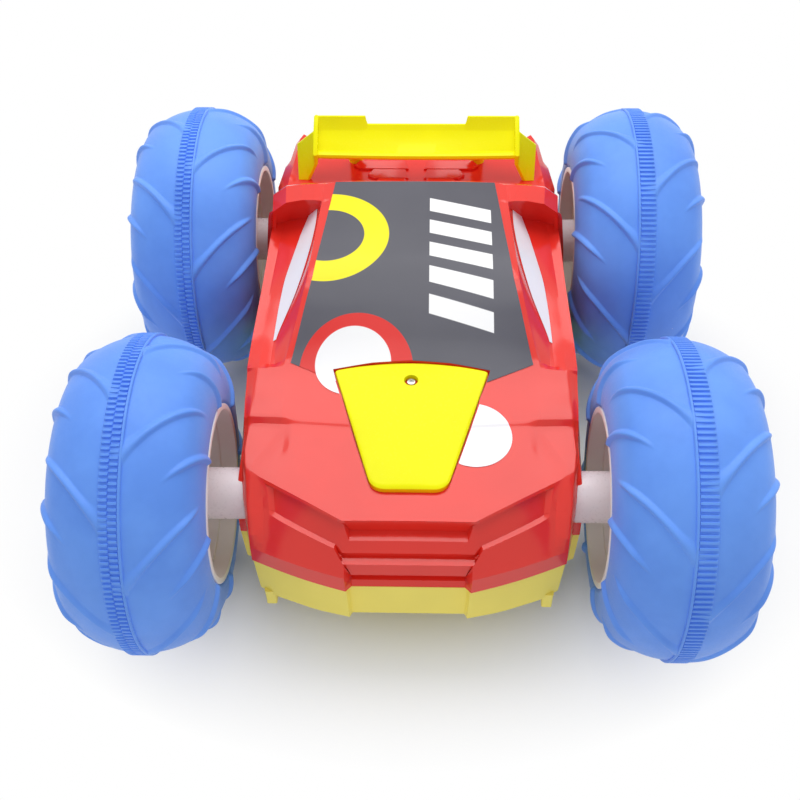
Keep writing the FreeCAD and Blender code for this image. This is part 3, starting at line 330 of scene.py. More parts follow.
FINISHES = {
    "red_shell": moulded("gloss_red_abs", (0.86, 0.030, 0.018), 0.17, 0.18, specular=0.38),
    "yellow_body": moulded("gloss_yellow_abs", (0.99, 0.97, 0.003), 0.24, specular=0.12),
    "tub_yellow": moulded("dull_yellow_tub_abs", (1.0, 0.84, 0.15), 0.34, specular=0.45),
    "tyre_blue": balloon_vinyl("satin_blue_vinyl", (0.128, 0.33, 0.97)),
    "hub_white": moulded("warm_white_hub_plastic", (0.90, 0.88, 0.89), 0.34, tint=0.04),
    "sleeve_white": moulded("milky_sleeve_plastic", (0.93, 0.87, 0.92), 0.3, tint=0.03,
                            through=0.12),
    "steel": metal("zinc_plated_steel", (0.62, 0.62, 0.63), 0.3),
    "bush_brass": metal("sintered_brass", (0.72, 0.52, 0.24), 0.38),
    "gear_white": moulded("acetal_gear_white", (0.85, 0.83, 0.76), 0.38, tint=0.05, through=0.08),
    "case_grey": moulded("gearbox_dark_grey", (0.05, 0.054, 0.06), 0.5, tint=0.12, grain=0.00006),
    "black_plastic": moulded("black_switch_plastic", (0.012, 0.012, 0.014), 0.42, tint=0.15),
    "board_green": moulded("solder_mask_green", (0.012, 0.11, 0.03), 0.3, 0.2, 0.2),
    "pack_wrap": moulded("heat_shrink_green", (0.02, 0.26, 0.12), 0.2, 0.3, 0.12),
    "print_dark": moulded("dark_printed_film", (0.028, 0.029, 0.034), 0.2, 0.2),
    "print_white": moulded("white_printed_film", (0.95, 0.93, 0.95), 0.22, 0.1, 0.02),
}

for part in frame["record"]["subparts"]:
    slots = frame["nodes"][part["node"]].data.materials
    finish = FINISHES[part["material_slot"]]
    for number in range(len(slots)):
        slots[number] = finish
    if not len(slots):
        slots.append(finish)


# ---------------- tyres
# A tyre's half section, as (distance from the middle, radius): the crown's arc, the shoulder
# where the sidewall's arc takes over, the rim's edge, the bead, and the band round the crown.
CROWN_CENTRE, CROWN_RADIUS = 22.8, 31.4
SHOULDER, RIM_EDGE = np.array([20.0, 47.0]), np.array([24.9, 32.55])
SIDEWALL_RADIUS = 19.6
BEAD = np.array([[24.75, 31.9], [24.3, 31.35], [23.5, 31.05]])
BAND_HALF, BAND_TOP, TOOTH_DEPTH, TEETH = 3.4, 55.0, 0.72, 176
# The ribs trail by LAG degrees at the rim; each stands in a sector of its own.
LAG, LAG_POWER = 28.0, 1.6
SECTORS = 16
SECTOR = 360 / SECTORS


def tyre_section(count):
    """Half of a tyre's section from the band's edge to the rim: an arc over the crown that meets
    the sidewall's arc at the shoulder. Gives evenly spaced points, outward directions, length."""
    first = math.asin(BAND_HALF / CROWN_RADIUS)
    last = math.atan2(SHOULDER[0], SHOULDER[1] - CROWN_CENTRE)
    t = np.linspace(first, last, 300)
    crown = np.stack([CROWN_RADIUS * np.sin(t), CROWN_CENTRE + CROWN_RADIUS * np.cos(t)], -1)
    chord = RIM_EDGE - SHOULDER
    span = np.linalg.norm(chord)
    inward = np.array([chord[1], -chord[0]]) / span
    centre = (SHOULDER + RIM_EDGE) / 2 + inward * math.sqrt(SIDEWALL_RADIUS ** 2 - span ** 2 / 4)
    one, two = SHOULDER - centre, RIM_EDGE - centre
    t = np.linspace(math.atan2(one[1], one[0]), math.atan2(two[1], two[0]), 240)[1:]
    wall = centre + SIDEWALL_RADIUS * np.stack([np.cos(t), np.sin(t)], -1)
    line, length = evenly(np.vstack([crown, wall]), count)
    for _ in range(6):
        line[1:-1] = (line[:-2] + 2 * line[1:-1] + line[2:]) / 4
    slope = np.gradient(line, axis=0)
    out = np.stack([-slope[:, 1], slope[:, 0]], -1)
    return line, out / np.linalg.norm(out, axis=1)[:, None], length


def rib_height(share, offset, radius, length, is_long):
    """How far a rib stands up, at a share of the way from band to rim and an angle (degrees) off
    its middle line: its full height times (1 - t squared) to the power 1.5, t growing from 0 on
    that line to 1 at the rib's side. A long rib starts broad and fades before the rim; a short
    one starts thin and ends as a round nub at the rim."""
    turn = LAG_POWER * np.radians(LAG) * (1 - share) ** (LAG_POWER - 1)
    lean = np.arctan(radius * turn / length)
    across = np.radians(offset) * radius * np.cos(lean)
    if is_long:
        width = 1 + 0.9 * np.exp(-share / 0.07) - 0.35 * ease(0.5, 0.8, share)
        tall = 1.25 * (1 - ease(0.56, 0.84, share)) * (0.74 + 0.26 * ease(0, 0.2, share))
    else:
        width = 0.55 + 0.5 * ease(0.35, 0.62, share)
        tall = 1.3 * ease(0.33, 0.58, share)
    side = np.where(offset < 0, 1.75, 1.25) * width
    t = np.clip(np.abs(across) / side, 0, 1)
    return tall * (1 - t ** 2) ** 1.5


def tyre(name, side, axle_y, inner_phase, body):
    """One balloon tyre. Its grid runs across the tread from rim to rim and round the wheel; its
    columns lean with the ribs, so that each rib keeps to its own."""
    rows = 56
    line, out, length = tyre_section(rows)
    share = np.linspace(0, 1, rows)[:, None]
    lag = LAG * (1 - (1 - share) ** LAG_POWER)
    lag = np.vstack([lag, np.repeat(lag[-1:], len(BEAD), 0)])
    offsets = np.r_[np.linspace(-5.2, 5.2, 23), np.linspace(6.6, SECTOR - 6.6, 6)]
    past = offsets > SECTOR / 2
    columns = (inner_phase + np.arange(SECTORS)[:, None] * SECTOR + offsets).ravel()
    offset = np.tile(np.where(past, offsets - SECTOR, offsets), SECTORS)
    number = (np.arange(SECTORS)[:, None] + past).ravel()
    strips = []
    for face in (-1, 1):
        tall, short = (rib_height(share, offset, line[:, 1:], length, is_long)
                       for is_long in (True, False))
        high = np.where(number % 2 == (face > 0), tall, short)
        nub = high[-1:] * column(0.6, 0.25, 0)
        across = face * np.vstack([line[:, :1] + high * out[:, :1], BEAD[:, :1] + nub * 0.8])
        radius = np.vstack([line[:, 1:] + high * out[:, 1:], BEAD[:, 1:] + nub * 0.1])
        strips.append(np.stack([across, radius, np.radians(columns - lag)]))
    inner, outer = strips
    across, radius, angle = np.concatenate([inner[:, ::-1], outer, inner[:, -1:]], 1)
    sheet = about_axle(side, axle_y, TRACK_HALF + across, radius, angle)
    mesh_piece("tyre_" + name + "_carcass", [sheet], body, "tyre_blue", ("tyre_" + name,), 60)


def crown_band(name, side, axle_y, body):
    """The raised band round the crown. Its teeth are bars across it, 2 mm apart: two staggered
    half-rows on the left-hand tyres, one full row on the right-hand ones. A smooth strip runs
    beside them. Rows are (distance from the middle, radius, tooth)."""
    pitch = 2 * np.pi / TEETH
    angle = ((np.arange(TEETH)[:, None] + [0.0, 0.12, 0.5, 0.62]) * pitch).ravel()
    first = np.tile([0.0, 1.0, 1.0, 0.0], TEETH)
    second = 1 - first if side < 0 else first
    top, root = BAND_TOP, BAND_TOP - TOOTH_DEPTH
    rows = [(-3.1, 53.4, 0), (-BAND_HALF, 53.9, 0), (-3.38, 54.75, 0), (-3.2, top, 0),
            (-2.62, top, 0), (-2.5, root, 0), (-2.42, root, first), (-2.2, root, first),
            (0.12, root, first)]
    if side < 0:
        rows += [(0.3, root, first * 0.7), (0.42, root, 0), (0.54, root, second * 0.7),
                 (0.72, root, second)]
    rows += [(3.0, root, second), (3.25, root, second * 0.7), (3.36, root, 0),
             (BAND_HALF, 53.9, 0), (3.1, 53.4, 0), rows[0]]
    across = column(*(row[0] for row in rows))
    radius = np.stack([low + TOOTH_DEPTH * tooth + 0 * angle for _, low, tooth in rows])
    sheet = about_axle(side, axle_y, TRACK_HALF + across, radius, angle)
    mesh_piece("tyre_" + name + "_band", [sheet], body, "tyre_blue", ("tyre_" + name,), 60)


# ---------------- wheels
# Distances outboard of the drum's ends, its web and its boss; radii of drum, boss and sleeve.
RIM_IN, RIM_OUT = TRACK_HALF - 24.9, TRACK_HALF + 24.9
WEB_IN, WEB_OUT = 82.3, 84.9
BOSS_IN, BOSS_OUT = WEB_IN - 7, WEB_OUT + 9
DRUM, LIP, WALL, BOSS, BORE, SLEEVE = 31.0, 28.8, 27.8, 6.5, 2.05, 8.9


def hub(name, side, axle_y, body):
    """The wheel's drum: a turned section with a thin lip, a step 6 mm in, and the web that carries
    the boss, with five ribs that stand out from the web. Its cap closes the boss."""
    bore = BORE if axle_y > 0 else BORE + 1.2
    section = fillet([
        (RIM_IN, DRUM), (RIM_OUT, DRUM), (RIM_OUT, LIP), (RIM_OUT - 6, LIP), (RIM_OUT - 6, WALL),
        (WEB_OUT, WALL), (WEB_OUT, BOSS), (BOSS_OUT, BOSS), (BOSS_OUT, bore), (BOSS_IN, bore),
        (BOSS_IN, BOSS), (WEB_IN, BOSS), (WEB_IN, WALL), (RIM_IN + 6, WALL), (RIM_IN + 6, LIP),
        (RIM_IN, LIP)],
        [0.5, 0.5, 0.5, 0.4, 0.3, 1.5, 1.2, 0.5, 0.3, 0.3, 0.5, 1.2, 1.5, 0.3, 0.4, 0.5])
    sheets = [turned(section, side, axle_y, 120)]
    ring = fillet([(WEB_OUT - 0.4, -2.5), (WEB_OUT + 6, -2.3), (WEB_OUT + 6, 2.3),
                   (WEB_OUT - 0.4, 2.5)], [0, 0.9, 0.9, 0], 4)
    reach, pinch = column(11.4, 11.41, 16, 22, 28.1, 28.11), column(0, 1, 1, 1, 1, 0)
    out = WEB_OUT + 2 + (ring[:, 0] - WEB_OUT - 2) * pinch
    wide = ring[:, 1] * pinch
    for turn in full_turn(5):
        y = wide * math.cos(turn) - reach * math.sin(turn)
        z = wide * math.sin(turn) + reach * math.cos(turn)
        sheets.append(round_sheet(side * out, axle_y + y, AXLE_Z + z))
    mesh_piece("hub_" + name + "_drum", sheets, body, "hub_white", ("hub_" + name,))
    lid = BOSS_OUT + 2.2
    cap = fillet([(lid - 4, 6.6), (lid, 6.6), (lid, 0), (lid + 2.2, 0), (lid + 2.2, 7.4),
                  (lid + 1.7, 8.2), (lid + 1.7, 8.9), (lid + 1.5, 10.9), (lid - 0.4, 11.0),
                  (lid - 0.4, 7.8), (lid - 4, 7.8)],
                 [0.2, 0.3, 0, 0, 0.4, 0.3, 0.3, 0.7, 0.3, 0.5, 0.2], 4)
    mesh_piece("hub_cap_" + name + "_lid", [turned(cap, side, axle_y, 72)], body, "hub_white",
               ("hub_cap_" + name,))


def sleeve(name, side, axle_y):
    """The pale tube round the axle, from inside the body to the wheel's boss. The rear one also
    holds a bush at its tip."""
    tip, root, plug, tube, seat = 73.3, 48.0, 58.0, 7.3, 3.25
    core = 2.5 if axle_y > 0 else 2.0
    section = [(tip, SLEEVE), (root, SLEEVE), (root, core), (plug, core), (plug, tube)]
    radius = [0.5, 0.4, 0, 0, 0.6]
    if axle_y > 0:
        section += [(tip - 5, tube), (tip - 5, seat), (tip, seat)]
        radius += [0.6, 0, 0.2]
    else:
        section += [(tip, tube)]
        radius += [0.3]
    mesh_piece("sleeve_" + name + "_tube", [turned(fillet(section, radius), side, axle_y, 96)],
               "chassis", "hub_white", ("sleeve_" + name,), finish="sleeve_white")


PHASES = {"front_left": 28.0, "front_right": 14.0, "rear_left": 22.0, "rear_right": 9.0}
for corner, phase in PHASES.items():
    out_side = -1 if "left" in corner else 1
    wheel_y = -WHEEL_BASE_HALF if "front" in corner else WHEEL_BASE_HALF
    wheel_body = "wheel_" + corner
    tyre(corner, out_side, wheel_y, phase, wheel_body)
    crown_band(corner, out_side, wheel_y, wheel_body)
    hub(corner, out_side, wheel_y, wheel_body)
    sleeve(corner, out_side, wheel_y)


# ---------------- upper shell: its lines
SPINE_Y = np.linspace(-96, 120, 2161)
spine_slope = np.interp(SPINE_Y, [-95, -38, -18, -8, 16, 120],
                        [0.1516, 0.1516, 0.43, 0.43, 0.0874, 0.0874])
SPINE_Z = np.r_[0, np.cumsum((spine_slope[1:] + spine_slope[:-1]) / 2 * np.diff(SPINE_Y))]
SPINE_Z += 66.5 - np.interp(-92.5, SPINE_Y, SPINE_Z)
PARTING_Z, FASCIA_Z, SHELL_WALL = 44.0, 51.0, 1.7


def top_height(x, y):
    """Height of hood, windscreen and roof: the spine's less a crown that grows with the square of
    the distance from the middle. In front of a slanted line the hood steps down and comes back
    slowly, and the fender stands proud of it along a crease, on a hollow slope."""
    across = np.abs(x)
    crown = np.interp(y, [-92, -60, -28, 4.5, 46], [0.0006, 0.0009, 0.0013, 0.00012, 0.00045])
    z = np.interp(y, SPINE_Y, SPINE_Z) - crown * across ** 2
    ahead = -54.5 + 0.1163 * (across - 22) - y
    drop = 0.4 + 1.35 * ease(40, 46, across)
    half = 0.9 + 0.7 * ease(41, 46, across)
    z = z - drop * ease(-half, half, ahead) * (1 - ease(2, 24, ahead))
    crease = np.interp(y, [-76, -69, -62.5, -55.5, -52, -42, -28],
                       [53.9, 52.7, 49.1, 45.3, 44.5, 44.6, 46.4])
    proud = np.clip((across - crease + 7) / 7, 0, 1) ** 2
    return z + 1.2 * proud * ease(-80, -69, y) * (1 - ease(-52, -30, y))


# Key lines of the shell, front to rear: the shape of the line in plan; then, at nine key columns
# (middle, door edge, print edge, ridge in and out, window print in and out, shoulder, side), the
# distance from the middle; the heights of the outer columns, where the formula for hood and roof
# doesn't give them; and the number of rows since the line before.
KEY_LINES = [
    ("lip", [(0, -91.9), (21.6, -91.9), (55, -71.5), (57.2, -66)],
     [0, 11.5, 21.6, 53.3, 53.8, 54.2, 54.6, 55, 57.2], [], 0),
    ("door_front",
     [(0, -82.4), (9.4, -82.4), (11.4, -82.0), (12.6, -81.1), (24, -79.6), (52.3, -69.2),
     (57.4, -61.5)], [0, 12.6, 24, 52.3, 53.1, 54.2, 55.2, 56.2, 57.4], [], 10),
    ("door_corner", [(0, -76.5), (14.1, -76.5), (26, -75.8), (51.4, -67.2), (57.4, -60)],
     [0, 14.1, 26, 51.4, 52.2, 53.9, 55.1, 56.2, 57.4], [], 4),
    ("scoop", [(0, -64), (18, -64), (30, -63.4), (49, -62.2), (57.4, -56.5)],
     [0, 17.9, 29, 48.7, 49.5, 52.2, 54.2, 56.2, 57.4], [], 11),
    ("step_foot", [(0, -55.5), (22, -55.4), (57.9, -51.2)],
     [0, 20.5, 32, 44.9, 45.7, 50.6, 53.4, 56, 57.9], [], 8),
    ("step_top", [(0, -53.6), (22, -53.6), (58, -49.4)],
     [0, 21.1, 32.3, 44.3, 45.1, 50.2, 53.2, 55.9, 58.1], [], 3),
    ("fender", [(0, -43), (60, -40)], [0, 24.3, 37.5, 44.2, 45.0, 49.8, 52.2, 55.5, 58.8], [], 9),
    ("foot", [(0, -35.6), (26.6, -35.6), (43.4, -27), (46, -28), (60, -28)],
     [0, 26.6, 43.4, 46, 46.8, 49.5, 51.5, 55.2, 59.3], [], 8),
    ("door_rear", [(0, -27.6), (14, -28.4), (27.9, -30.6), (42.9, -24.8), (60, -24.8)],
     [0, 27.9, 42.9, 45.4, 46.3, 49.7, 51.4, 55.1, 59.5], [75.2, 74.3, 72.2, 71.9, 73.0, 71.8], 4),
    ("screen", [(0, -13)], [0, 28, 40.5, 42.8, 43.7, 50.6, 51.2, 55.6, 59.5],
     [79.8, 78.9, 72.7, 72.3, 71.9, 71.6], 10),
    ("brow", [(0, 4.5)], [0, 27, 37, 39.2, 40.1, 44.5, 50.8, 55.5, 58.9],
     [88.8, 87.4, 79.0, 73.9, 72.9, 73.0], 13),
    ("roof", [(0, 18)], [0, 26, 35.6, 38.4, 39.0, 40.9, 50.0, 55.1, 58.3],
     [89.6, 88.0, 83.4, 75.8, 74.3, 74.5], 10),
    ("side_mid", [(0, 30)], [0, 25, 34.3, 37.6, 38.1, 38.9, 47.8, 54.4, 58.0],
     [90.8, 88.8, 86.1, 77.6, 75.5, 75.8], 8),
    ("side_rear", [(0, 40), (38, 40), (54, 43), (60, 43)],
     [0, 24.4, 33.3, 36.9, 37.3, 37.8, 45.6, 53.8, 57.8], [91.8, 89.8, 87.8, 79.4, 76.8, 77.0], 7),
    ("ear", [(0, 46.5), (37.5, 46.5), (43, 51), (50, 53), (60, 50)],
     [0, 24, 32.6, 36.5, 36.9, 38.0, 43.6, 52.6, 57.4], [92.2, 91.0, 88.8, 80.8, 78.1, 78.3], 5),
    ("ear_top", [(0, 46.9)], [0, 24, 32.6, 36.5, 37.0, 39.5, 44.4, 50.7, 56.3],
     [92.4, 92.6, 92.9, 92.8, 91.5, 87.1], 4),
    ("roof_end", [(0, 57)], [0, 23.3, 31.5, 36, 37, 40, 45, 51.5, 57],
     [93.3, 93.4, 93.5, 93.2, 92.2, 87.9], 7),
    ("roof_lip", [(0, 59.2)], [0, 23, 31.3, 36, 37, 40, 45, 51.5, 57],
     [93.5, 93.5, 93.0, 92.4, 92.4, 92.4, 92.1, 91.1, 86.9], 3),
    ("back_mid", [(0, 63)], [0, 22.5, 31, 36.5, 37.5, 40, 45, 52, 57.3],
     [86, 86, 86, 86, 86, 86, 86, 84, 80], 3),
    ("back_foot", [(0, 67.5)], [0, 22, 31, 38, 39.5, 42.5, 48, 54, 57.6],
     [77.5, 77.5, 77.5, 77.5, 77.4, 77.3, 77.3, 77.9, 76.2], 4),
    ("deck_front", [(0, 80)], [0, 22, 31, 39, 42, 46, 50.5, 53.8, 56.9],
     [77.9, 77.7, 77.7, 77.7, 77.7, 77.7, 77.7, 78.2, 76.0], 7),
    ("deck_mid", [(0, 95)], [0, 22, 31, 39, 42, 45.5, 49.5, 52, 54.6],
     [78.4, 78.2, 78.2, 78.2, 78.2, 78.2, 78.6, 80.4, 77.8], 8),
    ("deck_rear", [(0, 107)], [0, 22, 31, 38.5, 41, 44, 47.5, 50.8, 52.8],
     [78.9, 78.7, 78.7, 78.7, 78.7, 78.7, 79.6, 82.2, 79.4], 7),
    ("tail", [(0, 111.2)], [0, 21, 30, 37.5, 40, 43, 46, 49.6, 51.2],
     [79.0, 78.9, 78.9, 78.9, 78.9, 78.9, 79.4, 81.8, 79.2], 3),
]
ACROSS_STEPS = [20, 12, 20, 2, 6, 8, 5, 7]
ROW_OF = dict(zip([line[0] for line in KEY_LINES], np.cumsum([line[4] for line in KEY_LINES])))
COLUMN_OF = np.r_[0, np.cumsum(ACROSS_STEPS)]


def half_top():
    """The top surface right of the middle, rows front to rear and columns outwards. It is straight
    between key columns and key lines; the cabin's sides are then evened out lengthwise, and the
    hood and roof take their heights from the formula."""
    number = np.arange(COLUMN_OF[-1] + 1)
    lines = []
    for _, plan, x_key, z_key, _ in KEY_LINES:
        line_x, line_y = np.array(plan, float).T
        x_key = np.array(x_key, float)
        height = top_height(x_key, np.interp(x_key, line_x, line_y))
        height[len(x_key) - len(z_key):] = z_key
        x = np.interp(number, COLUMN_OF, x_key)
        lines.append(np.stack([x, np.interp(x, line_x, line_y),
                               np.interp(number, COLUMN_OF, height)], -1))
    grid = divided(np.stack(lines), np.array(list(ROW_OF.values())))
    side = grid[ROW_OF["door_rear"]:ROW_OF["ear"] + 1, COLUMN_OF[3]:]
    for _ in range(10):
        side[1:-1] = (side[:-2] + 2 * side[1:-1] + side[2:]) / 4
    row = np.arange(len(grid))[:, None]
    hood = row <= ROW_OF["foot"]
    roof = (row <= ROW_OF["roof_end"]) & (number <= COLUMN_OF[2])
    grid[..., 2] = np.where(hood | roof, top_height(grid[..., 0], grid[..., 1]), grid[..., 2])
    grid[..., 2] -= 1.1 * ease(COLUMN_OF[7], COLUMN_OF[8], number) * hood
    return grid


# The fascia's section on the middle line: lip, deep slot, ledge, sloped face, slot, ledge,
# face, groove, face, as (y, height); its half width at each of these; how finely each is divided.
LIP_Y = -91.9
LIP_Z = np.interp(LIP_Y, SPINE_Y, SPINE_Z)
GRILLE = np.array([(LIP_Y, LIP_Z), (-91.6, 66.0), (-91.4, 60.9), (-95.1, 60.2), (-97.7, 56.9),
                   (-97.1, 56.6), (-97.1, 54.8), (-100.2, 54.0), (-100.5, 48.8), (-99.2, 48.6),
                   (-99.2, 46.8), (-100.7, 46.4), (-101.6, PARTING_Z)])
GRILLE_HALF = np.array([21.6, 21.0, 19.2, 19.4, 21.6, 22.4, 22.4, 22.4, 18.9, 18.8, 18.8, 18.7,
                        18.7])
DEPTH_STEPS = [1, 2, 2, 3, 1, 1, 2, 3, 2, 1, 1, 2]
BELOW_KNEE = [FASCIA_Z, 48.7, 46.4, PARTING_Z]
# The headlight: its inner end's distance from the middle and its width; the share of that width
# where its recess ends; and how deep the recess is at each of the key rows.
LAMP_IN, LAMP_WIDE, LAMP_END = 21.6, 33.4, 0.79
RECESS = np.array([0, 0, 1.4, 1.4, 1.1, 1.1, 1.1, 0, 0, 0, 0, 0, 0])


def depth_shares(low):
    """How far down the skirt each of its thirteen key rows lies, from the top border (0) to the
    fascia's knee (1), where low is the headlight's lower edge."""
    one = np.ones_like(low)
    return np.hstack([0 * one, 0.05 * one, 0.08 * one, 0.11 * one, low - 0.07, low - 0.065,
                      low - 0.06, low, (1 + low) / 2, one, one, one, one])


def heights_down(border, q):
    """Heights of the key rows: by their share between the border and the knee, then fixed."""
    z = border[:, 2:] * (1 - q) + FASCIA_Z * q
    z[:, 9:] = BELOW_KNEE
    return z


def skirt(top):
    """The shell's skirt right of the middle, from the top's border down to the parting line: the
    grille's section, beside it the headlight's recess with a step at its inner end, then the
    corner, which bulges, and the plain side and tail. A bulge b moves a point on its way from
    border to foot by b, where 1 - b is a power of what is left of the way down."""
    front, side, tail = top[0], top[1:, -1], top[-1, -2::-1]
    centre = front[:COLUMN_OF[2] + 1]
    scale = (centre[:, :1] / LAMP_IN) * GRILLE_HALF
    fall = (centre[:, 2:] - LIP_Z) * (1 - np.linspace(0, 1, len(GRILLE)) ** 0.5)
    middle = np.stack([scale, 0 * scale + GRILLE[:, 0], fall + GRILLE[:, 1]], -1)

    lamp = front[COLUMN_OF[2] + 1:COLUMN_OF[7] + 1]
    t = (lamp[:, :1] - LAMP_IN) / LAMP_WIDE
    q = depth_shares(0.546 - 0.125 * t)
    bulge = 1 - (1 - q) ** (1 + ease(0.82, 1, t))
    step = 4.0 * q * np.exp(-((t - LAMP_END) / 0.1) ** 2) * (q < 0.6)
    x = (GRILLE_HALF + 0.5) * (1 - t) + (55 - 1.9 * bulge) * t - step
    x[:, 0] = lamp[:, 0]
    border_y = LIP_Y + 20.4 * (x - LAMP_IN) / LAMP_WIDE
    y = border_y * (1 - bulge) + (-103.6 + 0.381 * (x - 21.1)) * bulge
    y = y - 0.9 * np.sin(np.pi * np.clip(t, 0, 1)) * q
    inset = RECESS * (t < LAMP_END)
    lamps = np.stack([x - 0.44 * inset, y + 0.68 * inset,
                      heights_down(lamp, q) - 0.59 * inset], -1)

    corner = front[COLUMN_OF[7] + 1:]
    rest = np.vstack([corner, side, tail])
    turn = np.linspace(0, 1, len(corner) + 1)[1:]
    near = turn[:-1] / turn[-2]
    side_x = np.interp(side[:, 1], [-66, -42, 42, 80, 107, 111.2],
                       [58.5, 60.6, 60.4, 57.4, 53.4, 51.4])
    side_y = np.interp(side[:, 1], [-66, -58, -42, 80, 111.2], [-79.4, -68, -42, 80, 112.4])
    foot_x = np.r_[53.1 + 3.1 * near, 58.4, side_x, tail[:, 0]]
    foot_y = np.r_[-91.4 + 12.2 * near, -79.0, side_y, 112.4 + 0.6 * (1 - tail[:, 0] / 51.2)]
    q = depth_shares(np.full((len(rest), 1), 0.421))
    power = np.r_[2 + 1.6 * turn, 3.6 - 2.3 * ease(-66, -45, side[:, 1]), np.full(len(tail), 1.3)]
    bulge = 1 - (1 - q) ** power[:, None]
    rest_x, rest_y = rest[:, :1], rest[:, 1:2]
    fender = 2.0 * ease(77, 82, rest_y) * (1 - ease(95, 100, rest_y)) * ease(0.0, 0.09, q)
    fender *= 1 - 0.5 * (q >= 1)
    plain = np.stack([rest_x * (1 - bulge) + foot_x[:, None] * bulge + fender,
                      rest_y * (1 - bulge) + foot_y[:, None] * bulge, heights_down(rest, q)], -1)
    key = np.vstack([middle, lamps, plain]).swapaxes(0, 1)
    return divided(key, np.r_[0, np.cumsum(DEPTH_STEPS)]).swapaxes(0, 1)


def mirrored(points):
    """The same grid on the other side of the car."""
    return points * np.array([-1.0, 1.0, 1.0])


right_top = half_top()
TOP = np.hstack([mirrored(right_top[:, :0:-1]), right_top])
MIDDLE = COLUMN_OF[-1]
row_number = np.arange(TOP.shape[0] - 1)[:, None]
column_number = np.arange(TOP.shape[1] - 1)
from_middle = np.maximum(column_number - MIDDLE, MIDDLE - 1 - column_number)
in_door = ((from_middle < COLUMN_OF[1]) & (row_number >= ROW_OF["door_front"])
           & (row_number < ROW_OF["door_rear"]))


def door_flange():
    """The recessed ledge that the battery door lies on: the opening's edge is carried down by the
    shell's wall and then 3 mm inwards, all round."""
    first, last = ROW_OF["door_front"], ROW_OF["door_rear"]
    left, right = MIDDLE - COLUMN_OF[1], MIDDLE + COLUMN_OF[1]
    edge = np.vstack([TOP[first, left:right], TOP[first:last, right], TOP[last, right:left:-1],
                      TOP[last:first:-1, left]])
    wall = edge - np.array([0, 0, SHELL_WALL])
    half = np.interp(edge[:, 1], [-81.4, -27.6], [12.4, 28])
    shelf_y = -54.5 + (wall[:, 1] + 54.5) * 0.885
    shelf_z = wall[:, 2] - 0.1 + (shelf_y - wall[:, 1]) * 0.15
    shelf = np.stack([wall[:, 0] * (1 - 3 / half), shelf_y, shelf_z], -1)
    return sheet_of(np.stack([edge, wall, shelf]), True)


right_skirt = skirt(right_top)
shell = mesh_piece("upper_shell_skin", [sheet_of(TOP, keep=~in_door), sheet_of(right_skirt),
                                        sheet_of(mirrored(right_skirt)), door_flange()],
                   "chassis", "red_shell", ("upper_shell",), 17, 1e-5)
add_wall(turn_up(shell), SHELL_WALL)


def louvre(side, inner, tip, front, rear):
    """A wedge-shaped louvre on the deck, pointed outwards: a ramp that rises to the rear and drops
    straight down there. Its rings run from the deck up to the edge, then to the middle."""
    plan = np.array([(inner - 0.8, front), (tip - 2.6, front), (tip, (front + rear) / 2 - 0.4),
                     (tip - 2.2, rear), (inner + 0.6, rear)])
    deck = 77.55
    height = np.array([0.8, 0.8, 1.1, 1.5, 1.5]) + deck + 0.035 * (plan[:, 1] - 68)
    centre = plan.mean(0)
    flat = np.ones(len(plan))
    rings = []
    for share, z in ((1.0, (deck - 0.8) * flat), (1.0, height - 0.25), (0.94, height),
                     (0.0, height.mean() * flat)):
        x, y = (centre + (plan - centre) * share).T
        rings.append(np.stack([side * x, y, z], -1))
    return sheet_of(np.stack(rings), True)


LOUVRES = [(4.0, 26.5, 89.2, 94.1), (4.0, 20.4, 82.7, 87.9), (4.0, 17.9, 76.4, 81.5)]
mesh_piece("upper_shell_louvres", [louvre(side, *place) for side in (-1, 1) for place in LOUVRES],
           "chassis", "red_shell", ("upper_shell",), 30)


# ---------------- printed films
# Circles and bars on the roof: circles as (middle, radius, colour), where None is the film's own.
RINGS = [((-33.0, 26.0), 23.6, (0.96, 0.84, 0.01)), ((-33.0, 26.0), 14.2, None),
         ((-19.8, -30.2), 20.3, (0.75, 0.035, 0.03)), ((-20.9, -28.2), 13.6, (0.92, 0.92, 0.92))]
BAR_LEFT, BAR_RIGHT, BAR_START, BAR_PITCH, BAR_COUNT = 6.0, 29.5, -8.6, 12.4, 5
BAR_FROM, BAR_TO, BAR_LEAN = 0.02, 0.62, 0.28
FILM_LIFT, FILM_WALL = 0.14, 0.08


